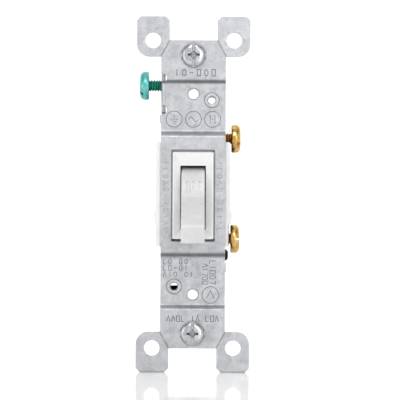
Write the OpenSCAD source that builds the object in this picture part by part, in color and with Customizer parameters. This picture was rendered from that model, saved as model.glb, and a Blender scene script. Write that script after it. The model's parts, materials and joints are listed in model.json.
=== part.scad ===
// Single-pole toggle wall switch on a steel mounting strap, in millimetres.
// The origin is midway between the box screws, on the plane that lies on the wall:
// +Z is up (ON), +X is to the right seen from the front, and the front faces -Y.

/* [Mounting strap] */
// Distance between the two box screws, a standard of the electrical trade
box_screw_spacing = 83.34; // [83.1:0.01:83.6]
// Distance between the two wall plate screw holes, a standard of the trade
plate_screw_spacing = 60.325; // [60.1:0.005:60.5]
// Overall height over the ears
strap_height = 106.6; // [106:0.1:107.5]
// Width of the strap between the ears
strap_width = 19.4; // [19:0.1:19.6]
// Thickness of the sheet steel
sheet = 1.2; // [1.1:0.05:1.3]
// How far the two panels behind the wall plate step back
step_back = 1.6; // [1.4:0.1:1.8]
// Height above the middle where the inner steps start
inner_step_z = 17.1; // [16.8:0.1:17.4]
// Height above the middle where the outer steps end
outer_step_z = 34.3; // [34:0.1:34.6]
// Height that a step takes up
step_length = 1.8; // [1.6:0.1:2]
// Overall width over the ears
ears_width = 34; // [33.6:0.1:34.4]
// Gap between the left and the right ear
ear_gap = 14.4; // [14.2:0.1:15]
// Height of an ear
ear_height = 12.1; // [11.8:0.1:12.4]
// Radius of the round hole in an ear
ear_hole_r = 2.35; // [2.2:0.05:2.5]
// Radius of the tapped hole for a wall plate screw
plate_hole_r = 1.5; // [1.4:0.05:1.6]

/* [Toggle] */
// Width of the toggle along its axle
toggle_width = 7; // [6.8:0.05:7.1]
// Radius of the drum that the handle grows out of
drum_r = 9.5; // [9.3:0.05:9.6]
// Distance from the axle to the tip of the handle
handle_reach = 22; // [20:0.5:24]
// Thickness of the handle at its tip
tip_thickness = 6.5; // [6:0.1:7]
// Swing from OFF to ON, in degrees
toggle_swing = 60; // [58:1:62]
// Depth of the axle behind the wall plane
axle_y = 5; // [4.9:0.05:5.1]
// Height of the axle, a little below the middle
axle_z = -1.05; // [-1.2:0.05:-0.9]
// Radius of the trunnions
trunnion_r = 1.95; // [1.9:0.01:1.98]

/* [Covers] */
// Width of the bezel that stands through the strap
bezel_width = 12.2; // [12:0.1:12.4]
// Height of the bezel
bezel_height = 26; // [25.8:0.1:26.4]
// How far the bezel's rim stands in front of the wall plane
bezel_proud = 2.2; // [2:0.1:2.6]
// Width of the front cover's flange behind the strap
flange_width = 22.4; // [22:0.1:22.8]
// Height of the flange
flange_height = 31.4; // [31.2:0.1:31.6]
// Depth of the front cover behind the wall plane
cover_depth = 4.5; // [4.4:0.1:4.6]
// Depth of the whole rear body behind the wall plane
body_depth = 24; // [23.8:0.1:26]

/* [Terminals and screws] */
// Major radius of the number 6 screws
screw_r = 1.75; // [1.7:0.01:1.78]
// Head radius of the terminal screws
terminal_head_r = 4.3; // [4.1:0.05:4.4]
// Head thickness of the terminal screws
terminal_head_t = 2.8; // [2.6:0.1:3]
// Height of the line terminal screw
line_screw_z = 17; // [16.8:0.1:17.2]
// Height of the load terminal screw
load_screw_z = -13.5; // [-13.7:0.1:-13.3]
// Depth of the terminal screws behind the wall plane
terminal_screw_y = 9.5; // [9.4:0.05:9.6]
// Height of the ground screw
ground_screw_z = 32.9; // [32.6:0.1:33.2]
// Head radius of the box mounting screws
mounting_head_r = 3.5; // [3.3:0.05:3.7]
// Length of a box mounting screw under its head
mounting_length = 19; // [16:1:25]
// Radius of the push-in wire entries
wire_entry_r = 1.15; // [1.1:0.05:1.2]

/* [Hidden] */
$fn = 64;

steel = [0.76, 0.77, 0.79];
white_plastic = [0.92, 0.92, 0.91];
black_plastic = [0.08, 0.08, 0.09];
brass = [0.83, 0.68, 0.36];
copper_alloy = [0.78, 0.50, 0.30];
silver = [0.86, 0.86, 0.84];
green = [0.20, 0.62, 0.52];
fibre = [0.72, 0.30, 0.22];

slack = 0.05;          // clearance between pieces that touch or turn in each other
over = 1;              // how far a cutter runs past the face it cuts
half_strap = strap_width / 2;
half_swing = toggle_swing / 2;

// Strap: stepped profile, opening, holes and ground tab
strap_end_z = strap_height / 2 - 7.1;
step_inner_r = 0.4;
opening_w = 13;
opening_h = 27.5;
opening_z = -0.4;
opening_corner_r = 0.45;
ear_chamfer = 1.2;
ear_round_r = 3.75;
ear_hole_x = 12.15;
ear_hole_z = 46;
score_r = 0.5;
slot_r = 2.1;
slot_length = 7.4;
collar_r = 2.4;
collar_length = 1.2;
tab_neck_z = [26.9, 33.3];
tab_z = [24.3, 36.8];
tab_reach = 12.2;
tab_bend_r = 1.5;
relief_r = 1.5;
relief_in = 0.2;          // how far the relief notches' centres sit in from the edge
nib_proud = 0.4;
nib_length = 2.8;
ground_screw_y = 7;
ground_head_x = -13.5;

// Eyelets: one at the upper right, one at the lower left
eyelet_at = [[5.5, 28.3], [-5.6, -27.7]];
eyelet_bore_r = 1.1;
eyelet_wall = 0.4;
eyelet_flange_r = 2.15;
eyelet_flange_t = 0.35;
eyelet_lip = 0.3;
lug_r = 3.4;
lug_t = 4.4;
lug_back = step_back + slack + lug_t;
relief_r_back = lug_r - 0.7;
hood_y = [lug_back + 1, lug_back + 2.4];

// Front cover
rim = 0.35;
funnel_depth = 1.6;
throat_w = 7.66;
throat_h = 19.3;
cover_wall = 1.5;
cheek_w = 2.1;
side_bump_z = -7;
side_bump_h = 4.2;
flange_notch = 0.5;

// Rear body and the room inside it
end_half_w = 9.3;
end_z = 26.4;
room_half_w = 6.7;
room_z = [-13.4, 14.4];
room_floor_y = body_depth - 1.6;
pocket_x = 7.9;
pocket_half_h = 4.8;
pocket_y = [cover_depth + 0.4, 14.5];
guard_x = 10.6;
guard_z = [-19.9, -16.5];

// Terminals
plate_x = [pocket_x + slack, pocket_x + 1.55];
plate_y = [5.3, 14.2];
line_plate_z = [12.6, 22.8];
load_plate_z = [-21.3, -6.9];
shelf_z = [14.7, 15.7];
shelf_y = [14.8, 18.1];
strip_y = [13.2, 14.2];
strip_z = [-11.7, -6.9];
strip_in_x = 2.9;
line_entry_z = 21.1;
load_entry_z = -19.6;
entry_x = plate_x[0] - wire_entry_r - slack;
entry_end_y = 15;
chamber_y = [7.6, entry_end_y];
chamber_x = [2.2, pocket_x];
chamber_half_h = 1.45;
clip_t = 0.35;

// Contact arm and contacts
arm_t = 0.8;
arm_half_w = 6.3;
arm_pivot = [16.3, 12.4];
arm_pin_r = 0.75;
arm_eye_r = 1.35;
arm_bottom_z = -11;
window_half_w = 3.3;
window_z = [-8.3, 6.4];
contact_x = 4.75;
contact_z = -9.4;
contact_r = 1.5;
contact_gap = 2;
moving_contact_t = 0.8;
arm_front_y = arm_pivot[0] - arm_t / 2;
arm_open = atan(contact_gap / (arm_pivot[1] - contact_z));

// Toggle inside: nose for the spring cup, lobe for the contact arm
root_reach = 8;
root_thickness = 10.1;
tip_edge_r = 0.5;
back_cut = 4.9;
nose_reach = 10;
nose_r = 0.8;
nose_neck = 7;
nose_root_half = 2.3;
lobe_r = 12.08;
lobe_inner_r = 5.6;
lobe_lead = 0.3;
lobe_trail = 17;
lobe_x = [-6.2, -toggle_width / 2];
trunnion_end = 5.7;
web_t = 1.5;
web_h = 1.5;
off_angle = half_swing;

// Spring cup: rests on the nose, points at the spring's seat
seat = [room_floor_y, axle_z];
nose_at = [axle_y + nose_reach * cos(off_angle), axle_z + nose_reach * sin(off_angle)];
cup_angle = atan2(seat[1] - nose_at[1], seat[0] - nose_at[0]);
cup_gap = 0.62;
cup_flange_r = 2.7;
cup_flange_t = 0.7;
cup_plug_r = 1.5;
cup_plug_t = 1.1;

// Springs
snap_coil_r = 2;
snap_wire_r = 0.28;
snap_turns = 6;
contact_coil_r = 1.15;
contact_wire_r = 0.17;
contact_turns = 5;
wire_sides = 8;
rings_per_turn = 14;

// Screws
terminal_shank = 5.6;
line_head_x = 11.6;
load_head_x = 11.4;
plate_bore_r = screw_r + slack;
screw_room_r = 2.2;
neck_r = 1.55;
washer_r = 3.6;
washer_t = 1.2;
recess_w = 1;

// ---------- helpers ----------

// A flat outline drawn in X and Z, given thickness along Y
module plate_xz(y0, y1) {
  translate([0, y1, 0]) rotate([90, 0, 0]) linear_extrude(y1 - y0) children();
}

// A flat outline drawn in Y and Z, given width along X
module plate_yz(x0, x1) {
  translate([x0, 0, 0]) rotate([90, 0, 90]) linear_extrude(x1 - x0) children();
}

// A cylinder along Y between two depths
module rod_y(r, y0, y1, x, z) {
  translate([x, y1, z]) rotate([90, 0, 0]) cylinder(r = r, h = y1 - y0);
}

// A cylinder along X between two sides
module rod_x(r, x0, x1, y, z) {
  translate([x0, y, z]) rotate([0, 90, 0]) cylinder(r = r, h = x1 - x0);
}

// A box given by its lowest and its highest corner
module block(low, high) {
  translate(low) cube(high - low);
}

// A rectangle with round corners, drawn about the origin
module round_rect(w, h, r) {
  square([w - 2 * r, h], center = true);
  square([w, h - 2 * r], center = true);
  for (sx = [-1, 1], sz = [-1, 1])
    translate([sx * (w / 2 - r), sz * (h / 2 - r)]) circle(r);
}

// A slot with half round ends, lying along X
module slot_x(length, r) {
  square([length - 2 * r, 2 * r], center = true);
  for (s = [-1, 1]) translate([s * (length / 2 - r), 0]) circle(r);
}

// ---------- strap ----------

// Half of the strap's outline seen from the front: one end with its two ears
module strap_end_outline() {
  ear_in = ear_gap / 2;
  ear_out = ears_width / 2;
  top = strap_height / 2;
  low = top - ear_height;
  translate([-half_strap, 0]) square([strap_width, strap_end_z]);
  for (side = [0, 1]) mirror([side, 0]) {
    polygon([
      [ear_in, low],
      [ear_in, top - ear_chamfer],
      [ear_in + ear_chamfer, top],
      [ear_out - ear_chamfer, top],
      [ear_out, top - ear_chamfer],
      [ear_out, low + ear_round_r],
      [ear_out - ear_round_r, low + ear_round_r],
      [ear_out - ear_round_r, low]
    ]);
    translate([ear_out - ear_round_r, low + ear_round_r]) circle(ear_round_r);
  }
}

// Side profile of the sheet: its front face from the middle up, stepping back and forward again
function front_line() = [
  [-sheet, -1],
  [-sheet, inner_step_z - step_inner_r],
  [-sheet + step_inner_r / 2, inner_step_z],
  [step_back - sheet - step_inner_r / 2, inner_step_z + step_length],
  [step_back - sheet, inner_step_z + step_length + step_inner_r],
  [step_back - sheet, outer_step_z - step_length - step_inner_r],
  [step_back - sheet - step_inner_r / 2, outer_step_z - step_length],
  [-sheet + step_inner_r / 2, outer_step_z],
  [-sheet, outer_step_z + step_inner_r],
  [-sheet, strap_height / 2 + over]
];

module half_profile() {
  line = front_line();
  last = len(line) - 1;
  polygon(concat(line, [for (i = [last:-1:0]) line[i] + [sheet, 0]]));
}

// The diagonal groove that lets an ear be broken off
module ear_score(y) {
  from = [ear_gap / 2 - 0.3, strap_end_z + 0.3];
  to = [half_strap + 0.3, strap_height / 2 - ear_height - 0.3];
  run = to - from;
  translate([from[0], y, from[1]])
    rotate([0, -atan2(run[1], run[0]), 0])
      rotate([0, 90, 0])
        rotate([0, 0, 45])
          cylinder(r = score_r, h = norm(run), $fn = 4);
}

module ground_tab() {
  bend_x = -half_strap + tab_bend_r;
  bend_y = step_back - sheet + tab_bend_r;
  neck_h = tab_neck_z[1] - tab_neck_z[0];
  tab_h = tab_z[1] - tab_z[0];
  difference() {
    translate([bend_x, bend_y, tab_neck_z[0]]) cylinder(r = tab_bend_r, h = neck_h);
    translate([bend_x, bend_y, tab_neck_z[0] - over])
      cylinder(r = tab_bend_r - sheet, h = neck_h + 2 * over);
    block([bend_x, bend_y - 3, tab_neck_z[0] - over], [bend_x + 3, bend_y + 3, tab_neck_z[1] + over]);
    block([bend_x - 3, bend_y, tab_neck_z[0] - over], [bend_x + 3, bend_y + 3, tab_neck_z[1] + over]);
  }
  block([-half_strap, bend_y, tab_neck_z[0]], [-half_strap + sheet, bend_y + 1.2, tab_neck_z[1]]);
  difference() {
    plate_yz(-half_strap, -half_strap + sheet)
      translate([(bend_y + 1 + tab_reach) / 2, (tab_z[0] + tab_z[1]) / 2])
        round_rect(tab_reach - bend_y - 1, tab_h, 1);
    rod_x(plate_bore_r, -half_strap - over, -half_strap + sheet + over, ground_screw_y, ground_screw_z);
  }
}

module strap() {
  color(steel) {
    difference() {
      intersection() {
        union() for (side = [0, 1]) mirror([0, 0, side])
          plate_yz(-ears_width, ears_width) half_profile();
        plate_xz(-5, 5) union() for (side = [0, 1]) mirror([0, side]) strap_end_outline();
      }
      // opening for the bezel
      plate_xz(-5, 5) translate([0, opening_z]) round_rect(opening_w, opening_h, opening_corner_r);
      for (s = [-1, 1]) {
        // box screw slot and wall plate screw hole
        plate_xz(-5, 5) translate([0, s * box_screw_spacing / 2]) slot_x(slot_length, slot_r);
        rod_y(plate_hole_r, -5, 5, 0, s * plate_screw_spacing / 2);
        for (side = [-1, 1]) rod_y(ear_hole_r, -5, 5, side * ear_hole_x, s * ear_hole_z);
        for (side = [0, 1], y = [-sheet, 0])
          mirror([side, 0, 0]) mirror([0, 0, (1 - s) / 2]) ear_score(y);
      }
      for (at = eyelet_at) rod_y(eyelet_bore_r + eyelet_wall + slack, -5, 5, at[0], at[1]);
      // relief notches and the sheet that the ground tab was bent from
      for (z = [tab_neck_z[0] - relief_r, tab_neck_z[1] + relief_r])
        plate_xz(-5, 5) {
          translate([-half_strap + relief_in, z]) circle(relief_r);
          translate([-half_strap - over, z - relief_r]) square([over + relief_in, 2 * relief_r]);
        }
      block([-half_strap - over, -5, tab_neck_z[0]], [-half_strap + tab_bend_r, 5, tab_neck_z[1]]);
    }
    // drawn collars that carry the wall plate screw threads
    for (s = [-1, 1]) difference() {
      rod_y(collar_r, step_back - slack, step_back + collar_length, 0, s * plate_screw_spacing / 2);
      rod_y(plate_hole_r, 0, 5, 0, s * plate_screw_spacing / 2);
    }
    ground_tab();
    // small nibs left on the edges
    for (at = [[-half_strap, 22.8], [half_strap, -22]])
      block(
        [at[0] - nib_proud, step_back - sheet, at[1] - nib_length / 2],
        [at[0] + nib_proud, step_back, at[1] + nib_length / 2]
      );
  }
}

// ---------- covers ----------

// The funnel from the bezel's rim down to the throat, as the overlap of two wedges
module funnel() {
  rim_w = bezel_width - 2 * rim;
  rim_low = opening_z - bezel_height / 2 + rim;
  rim_high = opening_z + bezel_height / 2 - rim;
  throat_low = axle_z - throat_h / 2;
  throat_high = axle_z + throat_h / 2;
  y0 = -bezel_proud;
  y1 = y0 + funnel_depth;
  y2 = cover_wall + over;
  intersection() {
    translate([0, 0, -20]) linear_extrude(40) polygon([
      [-rim_w / 2, y0 - over], [rim_w / 2, y0 - over], [rim_w / 2, y0],
      [throat_w / 2, y1], [throat_w / 2, y2], [-throat_w / 2, y2],
      [-throat_w / 2, y1], [-rim_w / 2, y0]
    ]);
    plate_yz(-10, 10) polygon([
      [y0 - over, rim_low], [y0, rim_low], [y1, throat_low], [y2, throat_low],
      [y2, throat_high], [y1, throat_high], [y0, rim_high], [y0 - over, rim_high]
    ]);
  }
}

module front_cover() {
  cheek_in = toggle_width / 2 + 0.4;
  color(white_plastic) difference() {
    union() {
      // bezel and flange
      plate_xz(-bezel_proud, cover_wall) translate([0, opening_z])
        round_rect(bezel_width, bezel_height, 0.4);
      difference() {
        plate_xz(slack / 2, cover_depth) round_rect(flange_width, flange_height, 0.6);
        block(
          [-room_half_w, cover_wall, room_z[0]],
          [room_half_w, cover_depth + over, room_z[1]]
        );
      }
      // cheeks that carry the trunnions
      for (side = [-1, 1])
        block(
          [side > 0 ? cheek_in : -cheek_in - cheek_w, cover_wall - slack, axle_z - 4],
          [side > 0 ? cheek_in + cheek_w : -cheek_in, axle_y + 2.4, axle_z + 4]
        );
      // half round bumps on the flange's sides
      for (side = [-1, 1])
        plate_xz(slack / 2, cover_depth - 1) translate([side * (flange_width / 2 - 0.2), side_bump_z])
          rotate(90) slot_x(side_bump_h, 0.7);
    }
    funnel();
    // room for the drum
    rod_x(drum_r + 0.35, -cheek_in, cheek_in, axle_y, axle_z);
    // trunnion slots, open to the back
    for (side = [-1, 1]) {
      x0 = side > 0 ? toggle_width / 2 : -cheek_in - cheek_w - over;
      x1 = side > 0 ? cheek_in + cheek_w + over : -toggle_width / 2;
      rod_x(trunnion_r + slack, x0, x1, axle_y, axle_z);
      block(
        [x0, axle_y, axle_z - trunnion_r - slack],
        [x1, axle_y + 5, axle_z + trunnion_r + slack]
      );
    }
    // the flange is set in beside the load screw
    block(
      [flange_width / 2 - flange_notch, -over, load_screw_z - 4.5],
      [flange_width / 2 + over, cover_depth + over, load_screw_z + 4.5]
    );
  }
}

// A pocket in the body's side for a terminal plate and its screw head
module terminal_pocket(z, plate_z) {
  block(
    [pocket_x, pocket_y[0], z - pocket_half_h],
    [flange_width, pocket_y[1], z + pocket_half_h]
  );
  block(
    [pocket_x, pocket_y[0], plate_z[0] - slack],
    [plate_x[1] + slack, pocket_y[1], plate_z[1] + slack]
  );
  rod_x(screw_room_r, 2.6, pocket_x + over, terminal_screw_y, z);
}

// A wire entry from the back, the chamber of its spring clip and the release slot beside it
module wire_entry(z) {
  rod_y(wire_entry_r, entry_end_y - over, body_depth + over, entry_x, z);
  block(
    [chamber_x[0], chamber_y[0], z - chamber_half_h],
    [chamber_x[1] + over, chamber_y[1], z + chamber_half_h]
  );
  block(
    [chamber_x[0] + 0.6, entry_end_y - over, z - 0.6],
    [chamber_x[0] + 1.8, body_depth + over, z + 0.6]
  );
}

module rear_body() {
  chamfer = 2.4;
  hooded = eyelet_at[1];
  color(black_plastic) difference() {
    union() {
      // middle block behind the flange
      plate_xz(cover_depth, body_depth) round_rect(flange_width - 0.6, flange_height, 0.8);
      // narrower ends behind the stepped-back panels, one corner cut free of each plate screw
      plate_xz(step_back + slack, body_depth) polygon([
        [-end_half_w, 16], [end_half_w, 16], [end_half_w, end_z - chamfer],
        [end_half_w - chamfer, end_z], [-end_half_w + 2 * chamfer, end_z],
        [-end_half_w + 1.4, end_z - 2 * chamfer], [-end_half_w, end_z - 2 * chamfer - 1.4]
      ]);
      plate_xz(step_back + slack, body_depth) polygon([
        [end_half_w, -16], [-end_half_w, -16], [-end_half_w, -end_z + chamfer],
        [-end_half_w + chamfer, -end_z], [end_half_w - chamfer, -end_z],
        [end_half_w, -end_z + chamfer]
      ]);
      // necks between the middle block and the ends
      for (s = [-1, 1])
        block(
          [-end_half_w, cover_depth, min(s * 15, s * 16.5)],
          [end_half_w, body_depth, max(s * 15, s * 16.5)]
        );
      // lugs under the eyelets
      for (at = eyelet_at) {
        rod_y(lug_r, step_back + slack, lug_back, at[0], at[1]);
        block(
          [at[0] - lug_r, step_back + slack, min(at[1], sign(at[1]) * 24)],
          [at[0] + lug_r, lug_back, max(at[1], sign(at[1]) * 24)]
        );
      }
      // hood that closes the lower half behind the lower eyelet
      intersection() {
        rod_y(lug_r, lug_back - slack, hood_y[1], hooded[0], hooded[1]);
        block(
          [hooded[0] - lug_r, lug_back - slack, hooded[1] - lug_r],
          [hooded[0] + lug_r, hood_y[1], hooded[1]]
        );
      }
      // guard beside the load screw
      plate_xz(step_back + slack, cover_depth + 2) translate([guard_x - 1, (guard_z[0] + guard_z[1]) / 2])
        rotate(90) slot_x(guard_z[1] - guard_z[0], 1);
    }
    // room for the mechanism
    block([-room_half_w, cover_depth - over, room_z[0]], [room_half_w, room_floor_y, room_z[1]]);
    block(
      [-room_half_w, shelf_y[0] - 0.2, room_z[1] - over],
      [room_half_w, shelf_y[1] + 0.3, shelf_z[1] + 0.2]
    );
    // eyelet holes, and room behind them for the eyelets' rolled ends
    for (at = eyelet_at) {
      rod_y(eyelet_bore_r + eyelet_wall + slack, 0, hood_y[0], at[0], at[1]);
      rod_y(relief_r_back, lug_back, hood_y[0], at[0], at[1]);
      difference() {
        rod_y(relief_r_back, lug_back, body_depth + over, at[0], at[1]);
        if (at == hooded)
          block(
            [at[0] - lug_r, hood_y[0], at[1] - lug_r],
            [at[0] + lug_r, hood_y[1] + over, at[1]]
          );
      }
    }
    terminal_pocket(line_screw_z, line_plate_z);
    terminal_pocket(load_screw_z, load_plate_z);
    // ways through the side wall for the terminals' inner arms
    block(
      [room_half_w - over, pocket_y[1] - over, shelf_z[0] - 1.3],
      [plate_x[1] + slack, shelf_y[1] + slack, shelf_z[1] + 1.9]
    );
    block(
      [room_half_w - over, strip_y[0] - slack, strip_z[0] - slack],
      [pocket_x + over, strip_y[1] + slack, strip_z[1] + slack]
    );
    wire_entry(line_entry_z);
    wire_entry(load_entry_z);
  }
  // posts that centre the two springs
  color(black_plastic) {
    rod_y(1.2, room_floor_y - 0.9, room_floor_y + slack, 0, seat[1]);
    rod_y(0.8, room_floor_y - 0.8, room_floor_y + slack, contact_x, contact_z);
  }
}

// ---------- eyelets and retaining washers ----------

module eyelet(at) {
  tube_r = eyelet_bore_r + eyelet_wall;
  front = step_back - sheet - eyelet_flange_t;
  back = lug_back;
  color(steel) translate([at[0], 0, at[1]]) rotate([-90, 0, 0]) rotate_extrude() polygon([
    [eyelet_bore_r, front + eyelet_lip], [eyelet_bore_r + eyelet_lip, front],
    [eyelet_flange_r - 0.15, front], [eyelet_flange_r, front + 0.15],
    [eyelet_flange_r, step_back - sheet], [tube_r, step_back - sheet], [tube_r, back],
    [tube_r + 0.7, back], [tube_r + 0.5, back + 0.45], [eyelet_bore_r + 0.15, back + 0.45],
    [eyelet_bore_r, back + 0.3]
  ]);
}

module retaining_washer(z) {
  color(fibre) difference() {
    rod_y(washer_r, 0, washer_t, 0, z);
    rod_y(neck_r + slack, -over, washer_t + over, 0, z);
  }
}

// ---------- terminals ----------

module line_terminal() {
  color(brass) difference() {
    union() {
      block(
        [plate_x[0], plate_y[0], line_plate_z[0]],
        [plate_x[1], plate_y[1], line_plate_z[1]]
      );
      // arm round to the shelf inside, which carries the pivot ears
      block(
        [plate_x[0], plate_y[1] - slack, shelf_z[0] - 1],
        [plate_x[1], shelf_y[1], shelf_z[1] + 1.6]
      );
      block([-arm_half_w, shelf_y[0], shelf_z[0]], [plate_x[0] + slack, shelf_y[1], shelf_z[1]]);
      for (x = [-arm_half_w, arm_half_w - 1]) {
        block(
          [x, arm_pivot[0] - 1.5, arm_pivot[1]],
          [x + 1, arm_pivot[0] + 1.5, shelf_z[0] + slack]
        );
        rod_x(1.5, x, x + 1, arm_pivot[0], arm_pivot[1]);
      }
    }
    rod_x(plate_bore_r, plate_x[0] - over, plate_x[1] + over, terminal_screw_y, line_screw_z);
    rod_x(arm_pin_r + slack / 2, -room_half_w, room_half_w, arm_pivot[0], arm_pivot[1]);
  }
}

module load_terminal() {
  color(brass) difference() {
    union() {
      block(
        [plate_x[0], plate_y[0], load_plate_z[0]],
        [plate_x[1], plate_y[1], load_plate_z[1]]
      );
      block([strip_in_x, strip_y[0], strip_z[0]], [plate_x[0] + slack, strip_y[1], strip_z[1]]);
    }
    rod_x(plate_bore_r, plate_x[0] - over, plate_x[1] + over, terminal_screw_y, load_screw_z);
  }
}

module fixed_contact() {
  face_y = arm_front_y - moving_contact_t - slack;
  color(silver) rod_y(contact_r, strip_y[1], face_y, contact_x, contact_z);
}

// A bent strip: one leg along the chamber's wall, the other leaning towards the wire
module wire_clip(z) {
  wall_x = chamber_x[0] + slack;
  tip_x = entry_x - wire_entry_r - 0.2;
  near = chamber_y[0] + 0.3;
  far = chamber_y[1] - 0.7;
  color(copper_alloy) translate([0, 0, z - chamber_half_h + 0.15])
    linear_extrude(2 * chamber_half_h - 0.3) polygon([
      [wall_x, far], [wall_x, near], [wall_x + 1.6, near], [tip_x, far - 1.6],
      [tip_x - clip_t, far - 1.4], [wall_x + 1.4, near + clip_t],
      [wall_x + clip_t, near + clip_t], [wall_x + clip_t, far]
    ]);
}

// ---------- contact arm ----------

// Puts a piece drawn for the closed contacts where it is at OFF, with the arm pushed back
module at_off() {
  translate([0, arm_pivot[0], arm_pivot[1]])
    rotate([arm_open, 0, 0])
      translate([0, -arm_pivot[0], -arm_pivot[1]])
        children();
}

module contact_arm() {
  eye_half = arm_half_w - 1 - 0.2;
  window_mid = (window_z[0] + window_z[1]) / 2;
  color(copper_alloy) at_off() difference() {
    union() {
      block(
        [-arm_half_w, arm_front_y, arm_bottom_z],
        [arm_half_w, arm_front_y + arm_t, arm_pivot[1] - 2.2]
      );
      block(
        [-eye_half, arm_front_y, arm_pivot[1] - 2.3],
        [eye_half, arm_front_y + arm_t, arm_pivot[1]]
      );
      rod_x(arm_eye_r, -eye_half, eye_half, arm_pivot[0], arm_pivot[1]);
    }
    rod_x(arm_pin_r + slack, -10, 10, arm_pivot[0], arm_pivot[1]);
    plate_xz(arm_front_y - over, arm_front_y + arm_t + over) translate([0, window_mid])
      round_rect(2 * window_half_w, window_z[1] - window_z[0], 0.8);
  }
}

module contact_arm_pin() {
  color(steel) rod_x(arm_pin_r, -arm_half_w - 0.2, arm_half_w + 0.2, arm_pivot[0], arm_pivot[1]);
}

module moving_contact() {
  color(silver) at_off()
    rod_y(contact_r, arm_front_y - moving_contact_t, arm_front_y, contact_x, contact_z);
}

// ---------- toggle ----------

// Handle, drum front and nose in the toggle's own axes: reach outwards, then height
module toggle_profile() {
  root_half = root_thickness / 2;
  tip_half = tip_thickness / 2;
  difference() {
    circle(drum_r, $fn = 128);
    translate([-drum_r - back_cut, 0]) square([2 * drum_r, 3 * drum_r], center = true);
  }
  difference() {
    circle(5, $fn = 96);
    translate([4, 0]) square(8, center = true);
  }
  polygon([
    [0, -root_half - 0.6], [root_reach, -root_half], [handle_reach - tip_edge_r, -tip_half],
    [handle_reach, -tip_half + tip_edge_r], [handle_reach, tip_half - tip_edge_r],
    [handle_reach - tip_edge_r, tip_half], [root_reach, root_half], [0, root_half + 0.6]
  ]);
  polygon([
    [0, -nose_root_half], [0, nose_root_half], [-back_cut, nose_root_half],
    [-nose_neck, nose_r], [-nose_reach, nose_r], [-nose_reach, -nose_r],
    [-nose_neck, -nose_r], [-back_cut, -nose_root_half]
  ]);
  translate([-nose_reach, 0]) circle(nose_r);
}

// Turns a piece drawn with the toggle level, handle forward, into the OFF position
module toggle_at_off() {
  translate([0, axle_y, axle_z]) rotate([off_angle, 0, 0]) children();
}

module toggle() {
  half_w = toggle_width / 2;
  color(white_plastic) toggle_at_off() {
    // the profile's reach points to the front
    translate([half_w, 0, 0]) rotate([90, 0, -90]) linear_extrude(toggle_width) toggle_profile();
    for (side = [-1, 1])
      rod_x(
        trunnion_r,
        side > 0 ? half_w - slack : -trunnion_end,
        side > 0 ? trunnion_end : -half_w + slack,
        0, 0
      );
    // lobe that pushes the contact arm back at OFF
    rotate([-off_angle, 0, 0]) intersection() {
      difference() {
        rod_x(lobe_r, lobe_x[0], lobe_x[1] + slack, 0, 0);
        rod_x(lobe_inner_r, lobe_x[0] - over, lobe_x[1] + over, 0, 0);
      }
      plate_yz(lobe_x[0] - over, lobe_x[1] + over)
        polygon([[0, 0], [15, 15 * tan(lobe_lead)], [15, -15 * tan(lobe_trail)]]);
    }
    // webs that join the lobe to the drum's side, clear of the cheek
    rotate([-off_angle, 0, 0]) {
      block([-half_w - web_t, lobe_inner_r, -web_h], [-half_w + web_t, lobe_inner_r + 1.2, 0]);
      block([-half_w, lobe_inner_r - 1.2, -web_h], [-half_w + web_t, lobe_inner_r + 1.2, 0]);
    }
  }
}

module spring_cup() {
  color(white_plastic) translate([0, nose_at[0], nose_at[1]]) rotate([cup_angle, 0, 0])
    difference() {
      union() {
        rod_y(cup_flange_r, cup_gap, cup_gap + cup_flange_t, 0, 0);
        rod_y(cup_plug_r, cup_gap, cup_gap + cup_flange_t + cup_plug_t, 0, 0);
      }
      rod_x(nose_r + slack, -4, 4, 0, 0);
    }
}

// ---------- springs ----------

// One ring of a round wire whose middle is at p and whose coil turns about a centre line
function ring(p, out, along, wire_r) =
  [for (k = [0:wire_sides - 1])
    p + wire_r * (cos(360 * k / wire_sides) * out + sin(360 * k / wire_sides) * along)];

// A coil spring in the plane x = x0, which leaves one point along a heading in degrees
// and comes to the other point square to the back wall
module coil(x0, from, to, leave, coil_r, wire_r, turns) {
  steps = turns * rings_per_turn;
  pull = norm(to - from) / 3;
  a = [x0, from[0], from[1]];
  b = a + pull * [0, cos(leave), sin(leave)];
  d = [x0, to[0], to[1]];
  c = d - pull * [0, 1, 0];
  function centre(t) =
    let (u = 1 - t) u * u * u * a + 3 * u * u * t * b + 3 * u * t * t * c + t * t * t * d;
  function heading(t) =
    let (d = centre(min(t + 0.01, 1)) - centre(max(t - 0.01, 0))) d / norm(d);
  function spoke(t) =
    let (d = heading(t), a = 360 * turns * t) cos(a) * [1, 0, 0] + sin(a) * cross(d, [1, 0, 0]);
  rings = [for (i = [0:steps])
    let (t = i / steps) ring(centre(t) + coil_r * spoke(t), spoke(t), heading(t), wire_r)];
  points = [for (r = rings) each r];
  faces = concat(
    [[for (k = [0:wire_sides - 1]) k]],
    [for (i = [0:steps - 1], k = [0:wire_sides - 1])
      let (a = i * wire_sides + k, b = i * wire_sides + (k + 1) % wire_sides)
        [a, a + wire_sides, b + wire_sides, b]],
    [[for (k = [wire_sides - 1:-1:0]) steps * wire_sides + k]]
  );
  polyhedron(points, faces, convexity = 8);
}

module snap_spring() {
  stand_off = cup_gap + cup_flange_t + snap_wire_r + 2 * slack;
  start = nose_at + stand_off * [cos(cup_angle), sin(cup_angle)];
  end = [room_floor_y - snap_wire_r - 2 * slack, seat[1]];
  color(steel) coil(0, start, end, cup_angle, snap_coil_r, snap_wire_r, snap_turns);
}

module contact_spring() {
  arm_back = arm_front_y + arm_t;
  drop = arm_pivot[1] - contact_z;
  start = [arm_back + drop * tan(arm_open) + contact_wire_r + 0.25, contact_z];
  end = [room_floor_y - contact_wire_r - slack, contact_z];
  color(steel) coil(contact_x, start, end, 0, contact_coil_r, contact_wire_r, contact_turns);
}

// ---------- screws ----------

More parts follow.
